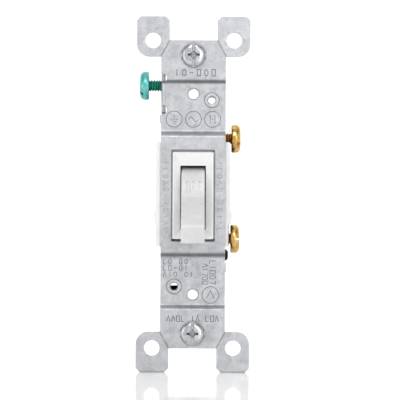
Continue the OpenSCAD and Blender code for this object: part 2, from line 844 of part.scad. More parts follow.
// A binding head screw along X: the head's seat at x = 0, the shank towards -X, a slot in the head
module binding_screw(head_r, head_t, shank) {
  difference() {
    union() {
      rotate([0, 90, 0]) rotate_extrude() polygon([
        [0, 0], [head_r - 0.15, 0], [head_r, 0.2], [head_r, head_t * 0.45],
        [head_r - 0.25, head_t * 0.75], [head_r - 1.1, head_t], [0, head_t]
      ]);
      rod_x(screw_r, -shank + 0.4, 0.05, 0, 0);
      translate([-shank, 0, 0]) rotate([0, 90, 0])
        rotate_extrude() polygon([[0, 0], [screw_r - 0.4, 0], [screw_r, 0.41], [0, 0.41]]);
    }
    // straight slot across the head
    block([head_t - 1.1, -head_r - over, -recess_w / 2], [head_t + over, head_r + over, recess_w / 2]);
  }
}

module line_terminal_screw() {
  color(brass) translate([line_head_x, terminal_screw_y, line_screw_z])
    rotate([22, 0, 0]) binding_screw(terminal_head_r, terminal_head_t, terminal_shank);
}

module load_terminal_screw() {
  color(brass) translate([load_head_x, terminal_screw_y, load_screw_z])
    rotate([5, 0, 0]) binding_screw(terminal_head_r, terminal_head_t, terminal_shank);
}

module ground_screw() {
  color(green) translate([ground_head_x, ground_screw_y, ground_screw_z])
    mirror([1, 0, 0]) rotate([40, 0, 0])
      binding_screw(terminal_head_r, terminal_head_t, terminal_shank + 1.4);
}

// A captive box screw along Y: head on the strap's front, plain neck, then the thread
module mounting_screw(z) {
  head_t = 2.1;
  thread_start = washer_t + 0.2;
  tip = mounting_length - sheet;
  color(steel) translate([0, 0, z]) difference() {
    union() {
      translate([0, -sheet, 0]) rotate([90, 0, 0]) rotate_extrude() polygon([
        [0, 0], [mounting_head_r, 0], [mounting_head_r, 0.7],
        [mounting_head_r - 0.35, 1.3], [mounting_head_r - 1.1, 1.8],
        [mounting_head_r - 2.1, head_t], [0, head_t]
      ]);
      rod_y(neck_r, -sheet - slack, thread_start + slack, 0, 0);
      rod_y(screw_r, thread_start, tip - 0.8, 0, 0);
      translate([0, tip - 0.85, 0]) rotate([-90, 0, 0])
        rotate_extrude() polygon([[0, 0], [screw_r, 0], [screw_r - 0.8, 0.85], [0, 0.85]]);
    }
    // straight slot and the short cross arms
    block(
      [-recess_w / 2, -sheet - head_t - over, -mounting_head_r - over],
      [recess_w / 2, -sheet - head_t + 1.1, mounting_head_r + over]
    );
    block(
      [-1.9, -sheet - head_t - over, -recess_w / 2],
      [1.9, -sheet - head_t + 1.1, recess_w / 2]
    );
  }
}

// ---------- the parts ----------

strap();
front_cover();
rear_body();
eyelet(eyelet_at[0]);  // upper_eyelet
eyelet(eyelet_at[1]);  // lower_eyelet
retaining_washer(box_screw_spacing / 2);  // upper_retaining_washer
retaining_washer(-box_screw_spacing / 2);  // lower_retaining_washer
line_terminal();
load_terminal();
fixed_contact();
wire_clip(line_entry_z);  // line_wire_clip
wire_clip(load_entry_z);  // load_wire_clip
contact_arm_pin();
snap_spring();
contact_spring();
toggle();
spring_cup();
contact_arm();
moving_contact();
line_terminal_screw();
load_terminal_screw();
ground_screw();
mounting_screw(box_screw_spacing / 2);  // upper_mounting_screw
mounting_screw(-box_screw_spacing / 2);  // lower_mounting_screw
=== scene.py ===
"""The looks of a toggle wall switch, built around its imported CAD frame.

Shapes are drawn in millimetres, in the CAD frame: +Z is up, +X is right seen from the front,
and the front faces -Y. They become metres when a drawn mesh becomes a piece.
"""
import json
import math

import bmesh
import bpy
from mathutils import Matrix, Vector


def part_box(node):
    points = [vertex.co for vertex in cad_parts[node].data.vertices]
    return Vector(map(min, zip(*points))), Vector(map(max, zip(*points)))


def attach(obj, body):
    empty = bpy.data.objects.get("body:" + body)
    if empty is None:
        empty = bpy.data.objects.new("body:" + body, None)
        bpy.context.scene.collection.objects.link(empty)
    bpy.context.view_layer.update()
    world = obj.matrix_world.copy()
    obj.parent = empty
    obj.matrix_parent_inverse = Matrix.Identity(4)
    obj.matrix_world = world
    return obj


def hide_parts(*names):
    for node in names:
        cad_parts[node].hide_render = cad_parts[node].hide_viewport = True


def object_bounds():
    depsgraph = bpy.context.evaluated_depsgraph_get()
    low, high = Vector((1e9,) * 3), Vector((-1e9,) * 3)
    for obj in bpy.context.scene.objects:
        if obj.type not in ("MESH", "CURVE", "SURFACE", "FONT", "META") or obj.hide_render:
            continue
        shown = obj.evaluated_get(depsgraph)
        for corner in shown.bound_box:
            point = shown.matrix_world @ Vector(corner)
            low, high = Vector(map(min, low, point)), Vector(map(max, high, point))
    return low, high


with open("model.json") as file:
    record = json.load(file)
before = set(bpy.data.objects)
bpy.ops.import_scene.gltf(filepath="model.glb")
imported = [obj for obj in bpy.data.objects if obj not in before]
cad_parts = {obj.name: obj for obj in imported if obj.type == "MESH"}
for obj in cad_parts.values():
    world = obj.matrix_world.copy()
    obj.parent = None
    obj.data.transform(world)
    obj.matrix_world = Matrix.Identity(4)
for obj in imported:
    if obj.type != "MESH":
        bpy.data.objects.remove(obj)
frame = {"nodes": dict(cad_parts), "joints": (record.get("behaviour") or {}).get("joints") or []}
CAD_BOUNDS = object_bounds()

MM = 0.001

# ---------- sheet metal, in millimetres ----------
STRAP_WIDTH = 19.4
SHEET = 1.2
STEP_BACK = 1.6            # how far the two panels behind the wall plate step back
INNER_STEP = (17.1, 19.3)  # heights where the inner steps start and end
OUTER_STEP = (33.0, 34.6)
FOLD_CUTS = 10             # cuts that let a fold follow its curve
STRAP_END = 7.1            # the strap ends this far below the top of its ears
EAR_GAP = 14.4
EAR_HEIGHT = 12.1
EAR_CHAMFER = 1.2
EAR_ROUND = 3.75
EAR_HOLE = (12.15, 46.1, 2.33)
PLATE_HOLE = (30.1625, 1.5)
OPENING = (13.0, 27.5, -0.4, 0.45)
BOX_SLOT = (7.4, 2.1)
EYELET_HOLE_R = 1.55
EDGE = 0.12                # rounding of the punched edges
TAB_NECK = (26.9, 33.3)
TAB = (24.3, 36.8)
TAB_BEND = 1.5             # outer radius of the ground tab's bend
TAB_REACH = 12.2
RELIEF_R = 1.5
RELIEF_IN = 0.2            # how far the notches' centres sit in from the edge
NIB = (0.4, 2.8)
COLLAR = (2.4, 1.2)
SCORE_WIDTH = 0.42
SCORE_DEPTH = 0.22
MARK_DEPTH = 0.14
MARK_WIDTH = 0.3

# ---------- covers and toggle, in millimetres ----------
BEZEL = (12.2, 26.0, -0.4)
WIRE_ENTRY = (6.7, 1.15)
STRIP_LENGTH = 12.7
EYELET_FLANGE = 0.35
EYELET_TUBE = (1.1, 1.5)
WASHER_BORE = 1.6
NECK_R = 1.55
NECK_LENGTH = 1.4
FUNNEL_TREAD = 0.12
REST_ANGLE = 30.0          # how far the handle points down at rest
RIM = 0.35
THROAT = (7.66, 19.3)
FUNNEL_DEPTH = 1.6
FUNNEL_STEPS = 6
COVER_WALL = 1.5
DRUM_R = 9.5
LETTER_HEIGHT = 3.6
LETTER_WIDTH = 1.4
LETTER_GAP = 0.45
LETTER_STROKE = 0.42
LETTER_PROUD = 0.26
LETTER_ANGLE = 52.0        # from the handle to the middle of a word, round the drum

# ---------- screws, in millimetres ----------
LINE_HEAD_X = 11.6         # where the inner face of each terminal screw's head is
LOAD_HEAD_X = 11.4
GROUND_HEAD_X = -13.5
PITCH = 0.794              # number 6 screws, 32 threads to the inch
MAJOR_R = 1.75
MINOR_R = 1.33
SLOT_WIDTH = 1.1
SLOT_DEPTH = 1.1

UP = Vector((0, 0, 1))


# ---------- reading the frame ----------

def box_mm(node):
    low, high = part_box(node)
    return low / MM, high / MM


def middle(node):
    low, high = box_mm(node)
    return (low + high) / 2


def joint(name):
    return next(j for j in frame["joints"] if j["name"] == name)


# ---------- materials ----------

class Nodes:
    """A material's node tree, with short calls for the nodes that the surfaces share."""

    def __init__(self, name):
        self.material = bpy.data.materials.new(name)
        self.material.use_nodes = True
        self.tree = self.material.node_tree
        self.shader = self.tree.nodes["Principled BSDF"]
        self.place = self.tree.nodes.new("ShaderNodeTexCoord").outputs["Object"]

    def link(self, source, target):
        self.tree.links.new(source, target)

    def noise(self, size, detail=4.0, rough=0.6, stretch=(1, 1, 1)):
        """Noise whose features are about size millimetres across."""
        mapping = self.tree.nodes.new("ShaderNodeMapping")
        mapping.inputs["Scale"].default_value = stretch
        self.link(self.place, mapping.inputs["Vector"])
        noise = self.tree.nodes.new("ShaderNodeTexNoise")
        noise.inputs["Scale"].default_value = 1 / (size * MM)
        noise.inputs["Detail"].default_value = detail
        noise.inputs["Roughness"].default_value = rough
        self.link(mapping.outputs["Vector"], noise.inputs["Vector"])
        return noise.outputs["Fac"]

    def crystals(self, size):
        """Random grey cells about size millimetres across."""
        cells = self.tree.nodes.new("ShaderNodeTexVoronoi")
        cells.inputs["Scale"].default_value = 1 / (size * MM)
        self.link(self.place, cells.inputs["Vector"])
        split = self.tree.nodes.new("ShaderNodeSeparateColor")
        self.link(cells.outputs["Color"], split.inputs["Color"])
        return split.outputs["Red"]

    def spread(self, value, low, high, to_low, to_high):
        """Maps value from low..high to to_low..to_high, and clamps it."""
        node = self.tree.nodes.new("ShaderNodeMapRange")
        for name, number in (("From Min", low), ("From Max", high), ("To Min", to_low), ("To Max", to_high)):
            node.inputs[name].default_value = number
        self.link(value, node.inputs["Value"])
        return node.outputs["Result"]

    def mix(self, share, first, second):
        """Mixes two colours; each is a colour or an output."""
        node = self.tree.nodes.new("ShaderNodeMix")
        node.data_type = "RGBA"
        self.link(share, node.inputs["Factor"])
        for name, colour in (("A", first), ("B", second)):
            socket = next(s for s in node.inputs if s.name == name and s.type == "RGBA")
            if isinstance(colour, tuple):
                socket.default_value = (*colour, 1)
            else:
                self.link(colour, socket)
        return next(s for s in node.outputs if s.type == "RGBA")

    def edges(self, radius):
        """Near 1 along convex edges, from the difference between rounded and true normals."""
        rounded = self.tree.nodes.new("ShaderNodeBevel")
        rounded.samples = 4
        rounded.inputs["Radius"].default_value = radius * MM
        shape = self.tree.nodes.new("ShaderNodeNewGeometry")
        dot = self.tree.nodes.new("ShaderNodeVectorMath")
        dot.operation = "DOT_PRODUCT"
        self.link(rounded.outputs["Normal"], dot.inputs[0])
        self.link(shape.outputs["True Normal"], dot.inputs[1])
        return self.spread(dot.outputs["Value"], 0.99, 0.82, 0, 1)

    def crevices(self, reach):
        """Near 1 in open places and near 0 deep in corners: the mask of the painted corner shade."""
        node = self.tree.nodes.new("ShaderNodeAmbientOcclusion")
        node.samples = 4
        node.inputs["Distance"].default_value = reach * MM
        return node.outputs["AO"]

    def corner_shaded(self, colour, reach, share):
        """Paints shade into a colour in the corners and recesses, from ambient occlusion."""
        dark = self.tree.nodes.new("ShaderNodeMix")
        dark.data_type = "RGBA"
        dark.blend_type = "MULTIPLY"
        dark.inputs["Factor"].default_value = share
        first, second = [s for s in dark.inputs if s.type == "RGBA"]
        self.link(colour, first)
        self.link(self.spread(self.crevices(reach), 0.25, 0.95, 0.15, 1), second)
        return next(s for s in dark.outputs if s.type == "RGBA")

    def bump(self, height, strength, depth):
        node = self.tree.nodes.new("ShaderNodeBump")
        node.inputs["Strength"].default_value = strength
        node.inputs["Distance"].default_value = depth * MM
        self.link(height, node.inputs["Height"])
        self.link(node.outputs["Normal"], self.shader.inputs["Normal"])

    def finish(self, colour, roughness):
        self.link(colour, self.shader.inputs["Base Color"])
        self.link(roughness, self.shader.inputs["Roughness"])
        return self.material


# The point attribute that carries the painted shade of the strap's folds.
FOLD_SHADE = "bend"      # how sharply the sheet slopes at a point of a fold, from 0 to 1


def sheet_zinc(name, dark, light, worn):
    """Zinc plated sheet: cloudy greys, faint crystals, fine grain, brighter edges from wear and painted
    highlight, painted shade on the folds and in the corners.
    """
    n = Nodes(name)
    n.shader.inputs["Metallic"].default_value = 0.75
    cloud = n.noise(2.6, 6, 0.72)
    fine = n.noise(0.42, 3, 0.6)
    grey = n.mix(n.spread(cloud, 0.36, 0.64, 0, 1), dark, light)
    crystal = n.mix(n.spread(n.crystals(0.9), 0, 1, 0, 0.35), grey, light)
    grain = n.mix(n.spread(fine, 0.42, 0.62, 0.28, 0), crystal, dark)
    edge = n.mix(n.spread(n.edges(0.22), 0, 1, 0, 0.5), grain, worn)
    # Painted shade: the folds darken towards a third of the dark grey, as much as the fold attribute says.
    bend = n.tree.nodes.new("ShaderNodeAttribute")
    bend.attribute_name = FOLD_SHADE
    shade = (dark[0] * 0.3, dark[1] * 0.3, dark[2] * 0.3)
    fold_shaded = n.mix(n.spread(bend.outputs["Fac"], 0, 1, 0, 0.75), edge, shade)
    n.bump(fine, 0.25, 0.02)
    # Painted shade: the colour is darkened in the corners by ambient occlusion.
    return n.finish(n.corner_shaded(fold_shaded, 0.7, 0.7), n.spread(cloud, 0.3, 0.7, 0.5, 0.36))


def metal(name, dark, light, worn, rough, metallic=1.0, cloud_size=1.2, wear_and_highlight=0.6):
    """Plated or bare metal of a small part: tarnish in patches, fine turning marks, polished edges lightened
    as wear and as painted highlight, and painted shade in the corners.
    """
    n = Nodes(name)
    n.shader.inputs["Metallic"].default_value = metallic
    cloud = n.noise(cloud_size, 5, 0.65)
    fine = n.noise(0.16, 2, 0.5)
    colour = n.mix(n.spread(cloud, 0.35, 0.65, 0, 1), dark, light)
    edge = n.mix(n.spread(n.edges(0.15), 0, 1, 0, wear_and_highlight), colour, worn)
    n.bump(fine, 0.2, 0.008)
    # Painted shade: the colour is darkened in the corners by ambient occlusion.
    return n.finish(n.corner_shaded(edge, 0.6, 0.8), n.spread(cloud, 0.3, 0.7, rough + 0.08, rough - 0.06))


def moulded(name, dark, light, worn, rough, sheen_depth=0.012, wear_and_highlight=0.5, shine=0.45, corner_shade=0.6):
    """Moulded plastic: slight flow clouding, satin grain, edges lightened by handling polish and as a painted
    highlight, and painted shade in the corners.
    """
    n = Nodes(name)
    n.shader.inputs["Specular IOR Level"].default_value = shine
    cloud = n.noise(5.0, 3, 0.5)
    fine = n.noise(0.12, 2, 0.5)
    colour = n.mix(n.spread(cloud, 0.35, 0.65, 0, 1), dark, light)
    edge = n.mix(n.spread(n.edges(0.2), 0, 1, 0, wear_and_highlight), colour, worn)
    n.bump(fine, 0.18, sheen_depth)
    roughness = n.spread(n.noise(1.1, 3, 0.6), 0.3, 0.7, rough + 0.06, rough - 0.05)
    # Painted shade: the colour is darkened in the corners by ambient occlusion.
    return n.finish(n.corner_shaded(edge, 0.5, corner_shade), roughness)


def fibre_board(name):
    """Red vulcanised fibre: short matted fibres and worn, paler edges."""
    n = Nodes(name)
    strands = n.noise(0.3, 6, 0.75, (1, 0.3, 1))
    colour = n.mix(n.spread(strands, 0.35, 0.65, 0, 1), (0.30, 0.045, 0.03), (0.46, 0.10, 0.06))
    edge = n.mix(n.spread(n.edges(0.15), 0, 1, 0, 0.5), colour, (0.55, 0.2, 0.14))
    n.bump(strands, 0.4, 0.03)
    return n.finish(edge, n.spread(strands, 0.3, 0.7, 0.85, 0.68))


FINISHES = {
    "zinc_steel": sheet_zinc("zinc_steel", (0.4, 0.413, 0.43), (0.61, 0.62, 0.64), (0.78, 0.79, 0.81)),
    "white_plastic": moulded(
        "white_plastic", (0.83, 0.83, 0.825), (0.88, 0.88, 0.875), (0.95, 0.95, 0.95), 0.4,
        corner_shade=0.2,
    ),
    # Painted highlight: the toggle's rounded edges and raised letter strokes are lightened almost to white.
    "toggle_white": moulded(
        "toggle_white", (0.66, 0.66, 0.655), (0.72, 0.72, 0.715), (0.94, 0.94, 0.94), 0.3,
        wear_and_highlight=0.9, corner_shade=0.3,
    ),
    "black_plastic": moulded(
        "black_plastic", (0.004, 0.004, 0.005), (0.009, 0.009, 0.010), (0.03, 0.03, 0.033), 0.55,
        wear_and_highlight=0.3, shine=0.2,
    ),
    "terminal_brass": metal(
        "terminal_brass", (0.52, 0.36, 0.13), (0.70, 0.52, 0.22), (0.88, 0.72, 0.40), 0.36,
    ),
    "screw_brass": metal("screw_brass", (0.50, 0.27, 0.06), (0.74, 0.50, 0.19), (0.95, 0.78, 0.46), 0.24),
    "green_screw": metal("green_screw", (0.06, 0.38, 0.34), (0.17, 0.56, 0.54), (0.5, 0.85, 0.84), 0.3, 0.55),
    "screw_steel": metal("screw_steel", (0.40, 0.41, 0.43), (0.66, 0.67, 0.69), (0.88, 0.88, 0.9), 0.25),
    "spring_steel": metal("spring_steel", (0.30, 0.30, 0.31), (0.50, 0.50, 0.52), (0.8, 0.8, 0.82), 0.28),
    "spring_bronze": metal("spring_bronze", (0.46, 0.22, 0.10), (0.66, 0.36, 0.19), (0.88, 0.6, 0.4), 0.33),
    "contact_silver": metal(
        "contact_silver", (0.62, 0.61, 0.58), (0.80, 0.80, 0.78), (0.93, 0.93, 0.92), 0.22,
    ),
    "fibre": fibre_board("fibre"),
}
# Painted shade: a darker copy of the zinc, given to the cut faces of the stamped marks and rings so that the
# grooves read dark.
GROOVE_SHADE = sheet_zinc("zinc_groove_shade", (0.22, 0.23, 0.245), (0.34, 0.345, 0.36), (0.5, 0.51, 0.53))


# ---------- drawing helpers ----------

def arc(x, z, radius, start, end, steps=10):
    """Points of an arc round (x, z), from one angle in degrees to another."""
    angles = [math.radians(start + (end - start) * i / steps) for i in range(steps + 1)]
    return [(x + radius * math.cos(a), z + radius * math.sin(a)) for a in angles]


def ring_outline(x, z, radius, steps=48):
    return arc(x, z, radius, 0, 360, steps)[:-1]


def slot_outline(x, z, length, radius):
    reach = length / 2 - radius
    return arc(x + reach, z, radius, -90, 90, 20) + arc(x - reach, z, radius, 90, 270, 20)


def rounded_rectangle(x, z, width, height, radius, steps=6):
    w, h = width / 2 - radius, height / 2 - radius
    return (
        arc(x + w, z + h, radius, 0, 90, steps)
        + arc(x - w, z + h, radius, 90, 180, steps)
        + arc(x - w, z - h, radius, 180, 270, steps)
        + arc(x + w, z - h, radius, 270, 360, steps)
    )


def plate(loops, thickness, edge):
    """A flat sheet lying in X and Y, with an outline, holes and rounded edges, its middle at z = 0."""
    curve = bpy.data.curves.new("outline", "CURVE")
    curve.dimensions = "2D"
    curve.fill_mode = "BOTH"
    curve.extrude = thickness / 2 - edge
    curve.bevel_depth = edge
    curve.bevel_resolution = 2
    curve.offset = -edge
    for loop in loops:
        spline = curve.splines.new("POLY")
        spline.points.add(len(loop) - 1)
        for point, (x, y) in zip(spline.points, loop):
            point.co = (x, y, 0, 1)
        spline.use_cyclic_u = True
    holder = bpy.data.objects.new("outline", curve)
    bpy.context.scene.collection.objects.link(holder)
    drawn = holder.evaluated_get(bpy.context.evaluated_depsgraph_get())
    mesh = bpy.data.meshes.new_from_object(drawn)
    shape = bmesh.new()
    shape.from_mesh(mesh)
    bmesh.ops.remove_doubles(shape, verts=shape.verts, dist=1e-3)
    bpy.data.objects.remove(holder)
    bpy.data.curves.remove(curve)
    bpy.data.meshes.remove(mesh)
    return shape


def lathe(shape, profile, place, steps=48):
    """Adds a solid of revolution: profile is (radius, height) points, place puts its Z axis."""
    rings = []
    for radius, height in profile:
        if radius < 1e-6:
            rings.append([shape.verts.new(place @ Vector((0, 0, height)))])
            continue
        angles = [2 * math.pi * k / steps for k in range(steps)]
        rings.append([
            shape.verts.new(place @ Vector((radius * math.cos(a), radius * math.sin(a), height)))
            for a in angles
        ])
    for low, high in zip(rings, rings[1:]):
        for k in range(steps):
            corners = [low[k % len(low)], low[(k + 1) % steps % len(low)]]
            corners += [high[(k + 1) % steps % len(high)], high[k % len(high)]]
            unique = list(dict.fromkeys(corners))
            if len(unique) > 2:
                shape.faces.new(unique)
    if profile[0] == profile[-1]:
        return
    for end in (rings[0], rings[-1]):
        if len(end) > 2:
            shape.faces.new(end)


def closed_lathe(shape, profile, place, steps=48):
    """A ring of revolution whose profile closes on itself."""
    first = len(shape.verts)
    lathe(shape, [*profile, profile[0]], place, steps)
    shape.verts.ensure_lookup_table()
    bmesh.ops.remove_doubles(shape, verts=shape.verts[first:], dist=1e-4)


def thread(shape, start, end, place, tip=0.7, steps=36):
    """Adds a rod with a real helical thread, tapering over its tip at the start."""
    per_turn = 10
    count = int((end - start) / PITCH * per_turn)
    rings = []
    for i in range(count + 1):
        height = start + (end - start) * i / count
        fade = min(1, (height - start) / tip)
        ring = []
        for k in range(steps):
            turn = (height / PITCH - k / steps) % 1
            flank = abs(2 * turn - 1)
            crest = min(1, max(0, 1.35 * flank - 0.12))
            radius = MINOR_R + (MAJOR_R - MINOR_R) * crest * fade - 0.45 * (1 - fade)
            a = 2 * math.pi * k / steps
            ring.append(shape.verts.new(place @ Vector((radius * math.cos(a), radius * math.sin(a), height))))
        rings.append(ring)
    for low, high in zip(rings, rings[1:]):
        for k in range(steps):
            shape.faces.new((low[k], low[(k + 1) % steps], high[(k + 1) % steps], high[k]))
    shape.faces.new(rings[0])
    shape.faces.new(rings[-1])


def prism(shape, points, low, high, shrink=1.0, place=None):
    """Adds a prism on a flat outline, from height low to high, its far end shrunk about its middle."""
    place = place or Matrix.Identity(4)
    cx = sum(x for x, _ in points) / len(points)
    cy = sum(y for _, y in points) / len(points)
    near = [shape.verts.new(place @ Vector((x, y, low))) for x, y in points]
    far = [
        shape.verts.new(place @ Vector((cx + (x - cx) * shrink, cy + (y - cy) * shrink, high)))
        for x, y in points
    ]
    for k in range(len(points)):
        m = (k + 1) % len(points)
        shape.faces.new((near[k], near[m], far[m], far[k]))
    shape.faces.new(near)
    shape.faces.new(far)


def offsets(points, closed, width):
    """The two sides of a line drawn width wide, mitred at its corners."""
    count = len(points)
    left, right = [], []
    for i, (x, z) in enumerate(points):
        before = points[i - 1] if closed or i else None
        after = points[(i + 1) % count] if closed or i < count - 1 else None
        ways = []
        if before is not None:
            ways.append(Vector((x - before[0], z - before[1])).normalized())
        if after is not None:
            ways.append(Vector((after[0] - x, after[1] - z)).normalized())
        across = sum((Vector((-w.y, w.x)) for w in ways), Vector((0, 0))).normalized()
        reach = width / 2 / max(0.5, across.dot(Vector((-ways[0].y, ways[0].x))))
        left.append((x + across.x * reach, z + across.y * reach))
        right.append((x - across.x * reach, z - across.y * reach))
    return left, right


def ribbon(shape, points, closed, widths, heights, place):
    """Adds a bar along a line on a surface: place(u, v, h) puts a point h above the surface."""
    sides = [offsets(points, closed, width) for width in widths]
    rows = [
        [shape.verts.new(place(u, v, heights[0])) for u, v in sides[0][0]],
        [shape.verts.new(place(u, v, heights[0])) for u, v in sides[0][1]],
        [shape.verts.new(place(u, v, heights[1])) for u, v in sides[1][1]],
        [shape.verts.new(place(u, v, heights[1])) for u, v in sides[1][0]],
    ]
    count = len(points)
    for i in range(count if closed else count - 1):
        k = (i + 1) % count
        for a, b in zip(rows, rows[1:] + rows[:1]):
            shape.faces.new((a[i], a[k], b[k], b[i]))
    if not closed:
        shape.faces.new([row[0] for row in rows])
        shape.faces.new([row[-1] for row in rows])


def groove(shape, points, closed, width, face_y, depth):
    """Adds a cutter along a line in X and Z, narrowing towards its bottom."""
    ribbon(
        shape, points, closed, (width * 1.25, width * 0.6), (0.15, -depth),
        lambda x, z, height: Vector((x, face_y - height, z)),
    )


def holder_of(shape, name, materials=()):
    """Puts a drawn mesh in an object, still in millimetres."""
    bmesh.ops.recalc_face_normals(shape, faces=shape.faces)
    mesh = bpy.data.meshes.new(name)
    shape.to_mesh(mesh)
    shape.free()
    for material in materials:
        mesh.materials.append(material)
    thing = bpy.data.objects.new(name, mesh)
    bpy.context.scene.collection.objects.link(thing)
    return thing


def cut(shape, cutter, materials=(), cutter_material=None):
    """Takes the cutter's shape away from a drawn mesh, and returns the mesh that is left."""
    body = holder_of(shape, "body_to_cut", materials)
    tool = holder_of(cutter, "cutter", [cutter_material] if cutter_material else [])
    modifier = body.modifiers.new("cut", "BOOLEAN")
    modifier.operation = "DIFFERENCE"
    modifier.solver = "EXACT"
    modifier.use_self = True
    modifier.object = tool
    if cutter_material:
        modifier.material_mode = "TRANSFER"
    result = bpy.data.meshes.new_from_object(body.evaluated_get(bpy.context.evaluated_depsgraph_get()))
    left = bmesh.new()
    left.from_mesh(result)
    for thing in (body, tool):
        bpy.data.objects.remove(thing)
    bpy.data.meshes.remove(result)
    return left


def piece(shape, name, finish, body, nodes, extra=(), sharp=38):
    """Turns a drawn mesh into a piece in metres, which rides on a body and stands for CAD nodes."""
    bmesh.ops.scale(shape, vec=(MM, MM, MM), verts=shape.verts)
    thing = holder_of(shape, name, [FINISHES[finish], *extra])
    mesh = thing.data
    mesh.polygons.foreach_set("use_smooth", [True] * len(mesh.polygons))
    mesh.set_sharp_from_angle(angle=math.radians(sharp))
    weighted = thing.modifiers.new("even_normals", "WEIGHTED_NORMAL")
    weighted.keep_sharp = True
    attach(thing, body)
    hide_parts(*nodes)
    return thing


def joined(node):
    """The CAD node's own shape in millimetres, joined up."""
    shape = bmesh.new()
    shape.from_mesh(frame["nodes"][node].data)
    bmesh.ops.scale(shape, vec=(1 / MM,) * 3, verts=shape.verts)
    bmesh.ops.remove_doubles(shape, verts=shape.verts, dist=1e-3)
    return shape


def refined(node, width, steps=2, sharpest=25):
    """The CAD node's own shape with its sharp edges rounded."""
    shape = joined(node)
    bmesh.ops.dissolve_limit(shape, angle_limit=math.radians(0.6), verts=shape.verts, edges=shape.edges)
    round_off(shape, width, steps, sharpest)
    return shape


def round_off(shape, width, steps=2, sharpest=25, chosen=None):
    """Rounds the sharp edges of a drawn mesh, or those of them that chosen picks."""
    limit = math.radians(sharpest)
    sharp = [e for e in shape.edges if len(e.link_faces) == 2 and e.calc_face_angle(0) > limit]
    if chosen:
        sharp = [e for e in sharp if chosen(e)]
    bmesh.ops.bevel(
        shape, geom=sharp, offset=width, offset_type="OFFSET", segments=steps, profile=0.5,
        affect="EDGES", clamp_overlap=False,
    )
    bmesh.ops.remove_doubles(shape, verts=shape.verts, dist=1e-4)


def merged(*shapes):
    """One drawn mesh that holds several."""
    whole = bmesh.new()
    for shape in shapes:
        mesh = bpy.data.meshes.new("part")
        shape.to_mesh(mesh)
        shape.free()
        whole.from_mesh(mesh)
        bpy.data.meshes.remove(mesh)
    return whole


# ---------- strap ----------

def smooth(t):
    t = min(1, max(0, t))
    return t * t * (3 - 2 * t)


def step_of(z):
    """How far the sheet is stepped back at a height."""
    z = abs(z)
    inner = smooth((z - INNER_STEP[0]) / (INNER_STEP[1] - INNER_STEP[0]))
    outer = smooth((z - OUTER_STEP[0]) / (OUTER_STEP[1] - OUTER_STEP[0]))
    return STEP_BACK * (inner - outer)


def fold_shade_at(z):
    """The painted shade band of a fold: strongest in the hollow of an upward slope, all over a downward one,
    which faces away from the light.
    """
    size = abs(z)
    for low, high in (INNER_STEP, OUTER_STEP):
        share = (size - low) / (high - low)
        if not 0 < share < 1:
            continue
        if z < 0:
            share = 1 - share
        upward = (low == INNER_STEP[0]) == (z > 0)
        hump = math.sin(math.pi * share) ** 2
        return hump * (share if upward else 1)
    return 0


def strap_outline(top, ear_out):
    """The blank's outline with the ground tab still flat, counterclockwise from the middle right."""
    half = STRAP_WIDTH / 2
    low = top - EAR_HEIGHT
    inside = EAR_GAP / 2
    ear = [
        (half, low), *arc(ear_out - EAR_ROUND, low + EAR_ROUND, EAR_ROUND, -90, 0, 14),
        (ear_out, top - EAR_CHAMFER), (ear_out - EAR_CHAMFER, top), (inside + EAR_CHAMFER, top),
        (inside, top - EAR_CHAMFER), (inside, top - STRAP_END),
    ]
    right_low = [(x, -z) for x, z in reversed(ear)]
    left_top = [(-x, z) for x, z in reversed(ear)]
    left_low = [(-x, -z) for x, z in ear]
    return ear + left_top + left_side(half) + left_low + right_low + right_side(half)


def right_side(half):
    at = -22.0
    return [(half, at - NIB[1] / 2), (half + NIB[0], at - NIB[1] / 2), (half + NIB[0], at + NIB[1] / 2),
            (half, at + NIB[1] / 2)]


def tab_flat_x(depth):
    """Where a depth behind the bend's middle lies on the flat blank."""
    bend_y = STEP_BACK - SHEET + TAB_BEND
    return -STRAP_WIDTH / 2 + TAB_BEND - (TAB_BEND - SHEET / 2) * math.pi / 2 - (depth - bend_y)


def left_side(half):
    """Down the left edge: relief notch, neck, tab, neck, relief notch and nib."""
    notch_x = -half + RELIEF_IN
    shoulder = tab_flat_x(STEP_BACK - SHEET + TAB_BEND + 1)
    end = tab_flat_x(TAB_REACH)
    upper, lower = TAB_NECK[1] + RELIEF_R, TAB_NECK[0] - RELIEF_R
    return [
        (-half, upper + RELIEF_R),
        *arc(notch_x, upper, RELIEF_R, 90, -90, 12),
        (shoulder, TAB_NECK[1]),
        *arc(shoulder - 0.6, TAB[1] - 0.6, 0.6, 0, 90, 5),
        *arc(end + 1, TAB[1] - 1, 1, 90, 180, 6),
        *arc(end + 1, TAB[0] + 1, 1, 180, 270, 6),
        *arc(shoulder - 0.6, TAB[0] + 0.6, 0.6, 270, 360, 5),
        (shoulder, TAB_NECK[0]),
        *arc(notch_x, lower, RELIEF_R, 90, -90, 12),
        (-half - NIB[0], lower - RELIEF_R), (-half - NIB[0], 22.8 - NIB[1] / 2), (-half, 22.8 - NIB[1] / 2),
    ]


def bend_tab(point):
    """Takes a point of the blank's tab round its bend."""
    centre_x = -STRAP_WIDTH / 2 + TAB_BEND
    centre_y = STEP_BACK - SHEET + TAB_BEND
    middle_r = TAB_BEND - SHEET / 2
    run = centre_x - point.x
    angle = min(run / middle_r, math.pi / 2)
    radius = centre_y - point.y
    point.x = centre_x - radius * math.sin(angle)
    point.y = centre_y - radius * math.cos(angle) + max(0, run - middle_r * math.pi / 2)


